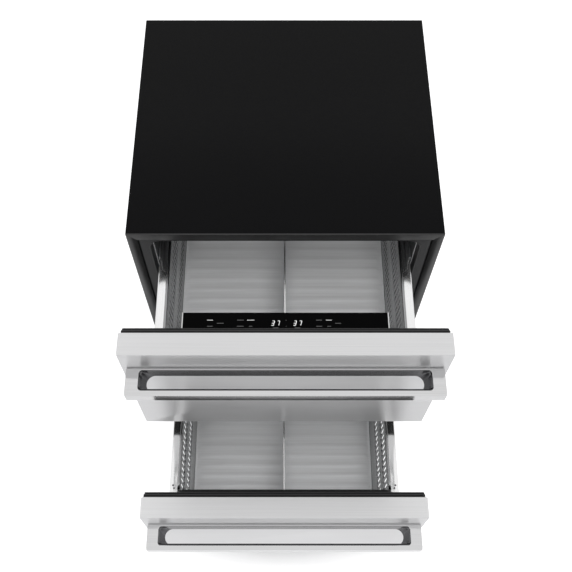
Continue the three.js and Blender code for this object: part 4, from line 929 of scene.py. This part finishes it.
# ---- Liners of the fronts ----
# A black vacuum-formed panel closes the back of each front. Its raised middle enters the mouth and
# has soft edges, drawn sides and a shallow sunk field that stiffens it.
panel_black = speckled(
    "panel_black", (0.005, 0.005, 0.0052), (0.009, 0.009, 0.0092), (0.35, 0.5),
    grains=420, contrast=1.5, bump=0.00012, Specular_IOR_Level=0.25,
)
plug_foot, plug_inset, plug_draft, side_draft = 0.2322, 0.028, 0.006, 0.0009
plug_base, plug_rim, plug_corner, sunk_corner, panel_corner = 0.003, 0.0035, 0.012, 0.010, 0.001
sunk = np.array([(0.020, 0.0), (0.0215, 0.0004), (0.0225, 0.0011), (0.024, 0.0015)])
curve = np.linspace(0, math.pi / 2, 5)
swept = 1 - np.stack([np.sin(curve), np.cos(curve)], 1)
for drawer, raised in (("upper", 0.0), ("lower", 0.0032)):
    low, high = box_of(f"{drawer}_front_liner")
    skin_low, skin_high = box_of(f"{drawer}_front_skin")
    face, rear = skin_high[1] - 0.0001, high[1]
    foot = (plug_foot, skin_low[2] + plug_inset, skin_high[2] - plug_inset)
    deep = (foot[0] - side_draft, foot[1] + plug_draft, foot[2] - plug_draft + raised)
    rings = let_out(high[0], low[2], high[2], panel_corner, [(0, low[1]), (0, face)])
    rings += let_out(*foot, plug_corner, plug_base * swept + (0, face))
    rings += let_out(*deep, plug_corner, -plug_rim * swept[:, ::-1] + (0, rear))
    rings += let_out(*deep, sunk_corner, (0, rear) - sunk)
    panel = shaped(
        f"{drawer}_back_panel", *ringed(rings, "last"), panel_black, 40,
        behind=(0, low[1], (low[2] + high[2]) / 2),
    )
    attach(panel, f"{drawer}_drawer")
    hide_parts(f"{drawer}_front_liner")


# ---- Moulded black parts ----
# The control's housing, toe grille, fan shroud, drain tray and cord gland are injection moulded in
# black plastic with a fine spark-eroded grain. The fans' rotors are moulded in dark grey.
moulded_black = speckled(
    "moulded_black", (0.006, 0.006, 0.0062), (0.011, 0.011, 0.0112), (0.4, 0.55),
    grains=620, contrast=1.7, bump=0.00015, Specular_IOR_Level=0.3,
)
fan_grey = speckled(
    "fan_grey", (0.020, 0.020, 0.022), (0.032, 0.032, 0.034), (0.35, 0.5),
    grains=300, contrast=1.5, bump=0.0001,
)
finish_nodes(
    moulded_black, "control_housing", "toe_grille", "condenser_fan_shroud", "drain_tray",
    "cord_gland",
)
finish_nodes(fan_grey, "condenser_fan_rotor", "evaporator_fan_rotor")


# ---- Ball slides ----
# Three-member ball slides in zinc-plated steel: a channel screwed to each wall of the cold space,
# a middle channel with half the drawer's travel, and the bar on the rail.
finish_nodes(
    zinc,
    *(f"{drawer}_{member}_slide_{word}" for drawer in drawers
      for member in ("cabinet", "middle") for word in ("left", "right")),
)


# ---- Base and machine ----
# The base pan and the louvred cover are plain zinc-plated sheet. Behind the cover stand a hermetic
# compressor in black enamel and finned aluminium coils, joined by brazed copper pipes.
enamel = speckled(
    "black_enamel", (0.004, 0.004, 0.0045), (0.009, 0.009, 0.0095), (0.22, 0.4),
    grains=90, contrast=2.0, Metallic=0.2, bump=0.0001,
)
fins = brushed(
    "coil_aluminium", (0.42, 0.43, 0.45), (0.60, 0.61, 0.63), (0.3, 0.5),
    spacing=(500, 30, 30), contrast=2.0,
)
copper = speckled(
    "drawn_copper", (0.42, 0.17, 0.08), (0.66, 0.30, 0.15), (0.25, 0.45),
    grains=60, contrast=2.6, Metallic=1.0,
)
board_green = speckled(
    "board_green", (0.006, 0.07, 0.03), (0.012, 0.13, 0.055), (0.35, 0.55),
    grains=300, contrast=3.0, bump=0.0001,
)
finish_nodes(zinc, "base_pan", "machine_cover")
finish_nodes(enamel, "compressor")
finish_nodes(fins, "condenser_coil", "evaporator_coil")
finish_nodes(copper, "discharge_pipe", "suction_line")
finish_nodes(board_green, "control_board")


# ---- Rear sheet, louvres and screws ----
# The zinc-plated rear sheet has two pressed beads so that it doesn't drum. Hooded louvres are
# pressed out over the slots of the machine's cover, and hexagon-headed screws hold both sheets.
def repeated(points, faces, places):
    """One shape at many places, as points and faces of a single mesh."""
    moved = (points + np.array(places)[:, None]).reshape(-1, 3)
    return moved, [[corner + len(points) * turn for corner in face]
                   for turn in range(len(places)) for face in faces]


low, high = box_of("back_panel")
sheet, rise, slope, corner, bead_corner = 0.0004, 0.0008, 0.0035, 0.001, 0.03
flat = low[1] + 0.0001
bead = np.array([
    (0, 0), (0, 0), (1, 0.75), (1.6, 1), (2.4, 1), (3, 0.75), (4, 0), (4, 0),
]) * (slope, rise)
bead[0, 0] -= 0.001
bead[-1, 0] += 0.001
steps = np.concatenate([[(0, 0)], bead + (0.045, 0), bead + (0.150, 0)])
corners = np.minimum(corner + steps[:, 0], bead_corner)
rings = let_out(high[0], low[2], high[2], corners, steps * (-1, 1) + (0, flat), 6)
middle = (0, 0, (low[2] + high[2]) / 2)
rear = shaped("rear_sheet", *ringed(rings, "last"), zinc, 50, behind=middle)
solidified(rear, sheet)
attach(rear, "cabinet")
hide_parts("back_panel")

cover_low, cover_high = box_of("machine_cover")
louvre_half, louvre_pitch, louvre_step, louvre_tall = 0.056, 0.140, 0.018, 0.0085
louvre_out, louvre_drop, hood_sheet = 0.0038, 0.019, 0.0006
arc, along = np.linspace(0, math.pi / 2, 6), np.linspace(-1, 1, 17)
along = along * (1.35 - 0.35 * along ** 2)
end = np.sqrt(np.clip(1 - along ** 6, 0, 1))
hood = np.stack(np.broadcast_arrays(
    louvre_half * along, louvre_out * np.sin(arc)[:, None] * end - 0.0001,
    -louvre_tall * (1 - np.cos(arc))[:, None] * end,
), -1)
places = [
    (column * louvre_pitch, cover_high[1], cover_high[2] - louvre_drop - louvre_step * row)
    for column in (-1, 0, 1) for row in range(6)
]
points, faces = repeated(hood.reshape(-1, 3), grid_faces(*hood.shape[:2]), places)
hoods = shaped("louvre_hoods", points, faces, zinc, 60, behind=(0, 0, cover_low[2]))
solidified(hoods, hood_sheet)
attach(hoods, "cabinet")

head = [(0, 0), (7.2, 0), (7.2, 0.2), (4.6, 0.2), (4.4, 0.6), (0, 0.6)]
for name, (low, high), face, rows in (
    ("rear", (low, high), flat, 6), ("cover", (cover_low, cover_high), cover_high[1], 2),
):
    across = np.linspace(low[0] + 0.012, high[0] - 0.012, 5)
    up = np.linspace(low[2] + 0.009, high[2] - 0.009, rows)
    places = [(x, face, z) for x in across for z in up if x in across[[0, -1]] or z in up[[0, -1]]]
    points, faces = turned(np.array(head) / 1000, (0, 0, 0), 1, 6)
    screws = shaped(f"{name}_screws", *repeated(points, faces, places), screw_steel, 30)
    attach(screws, "cabinet")
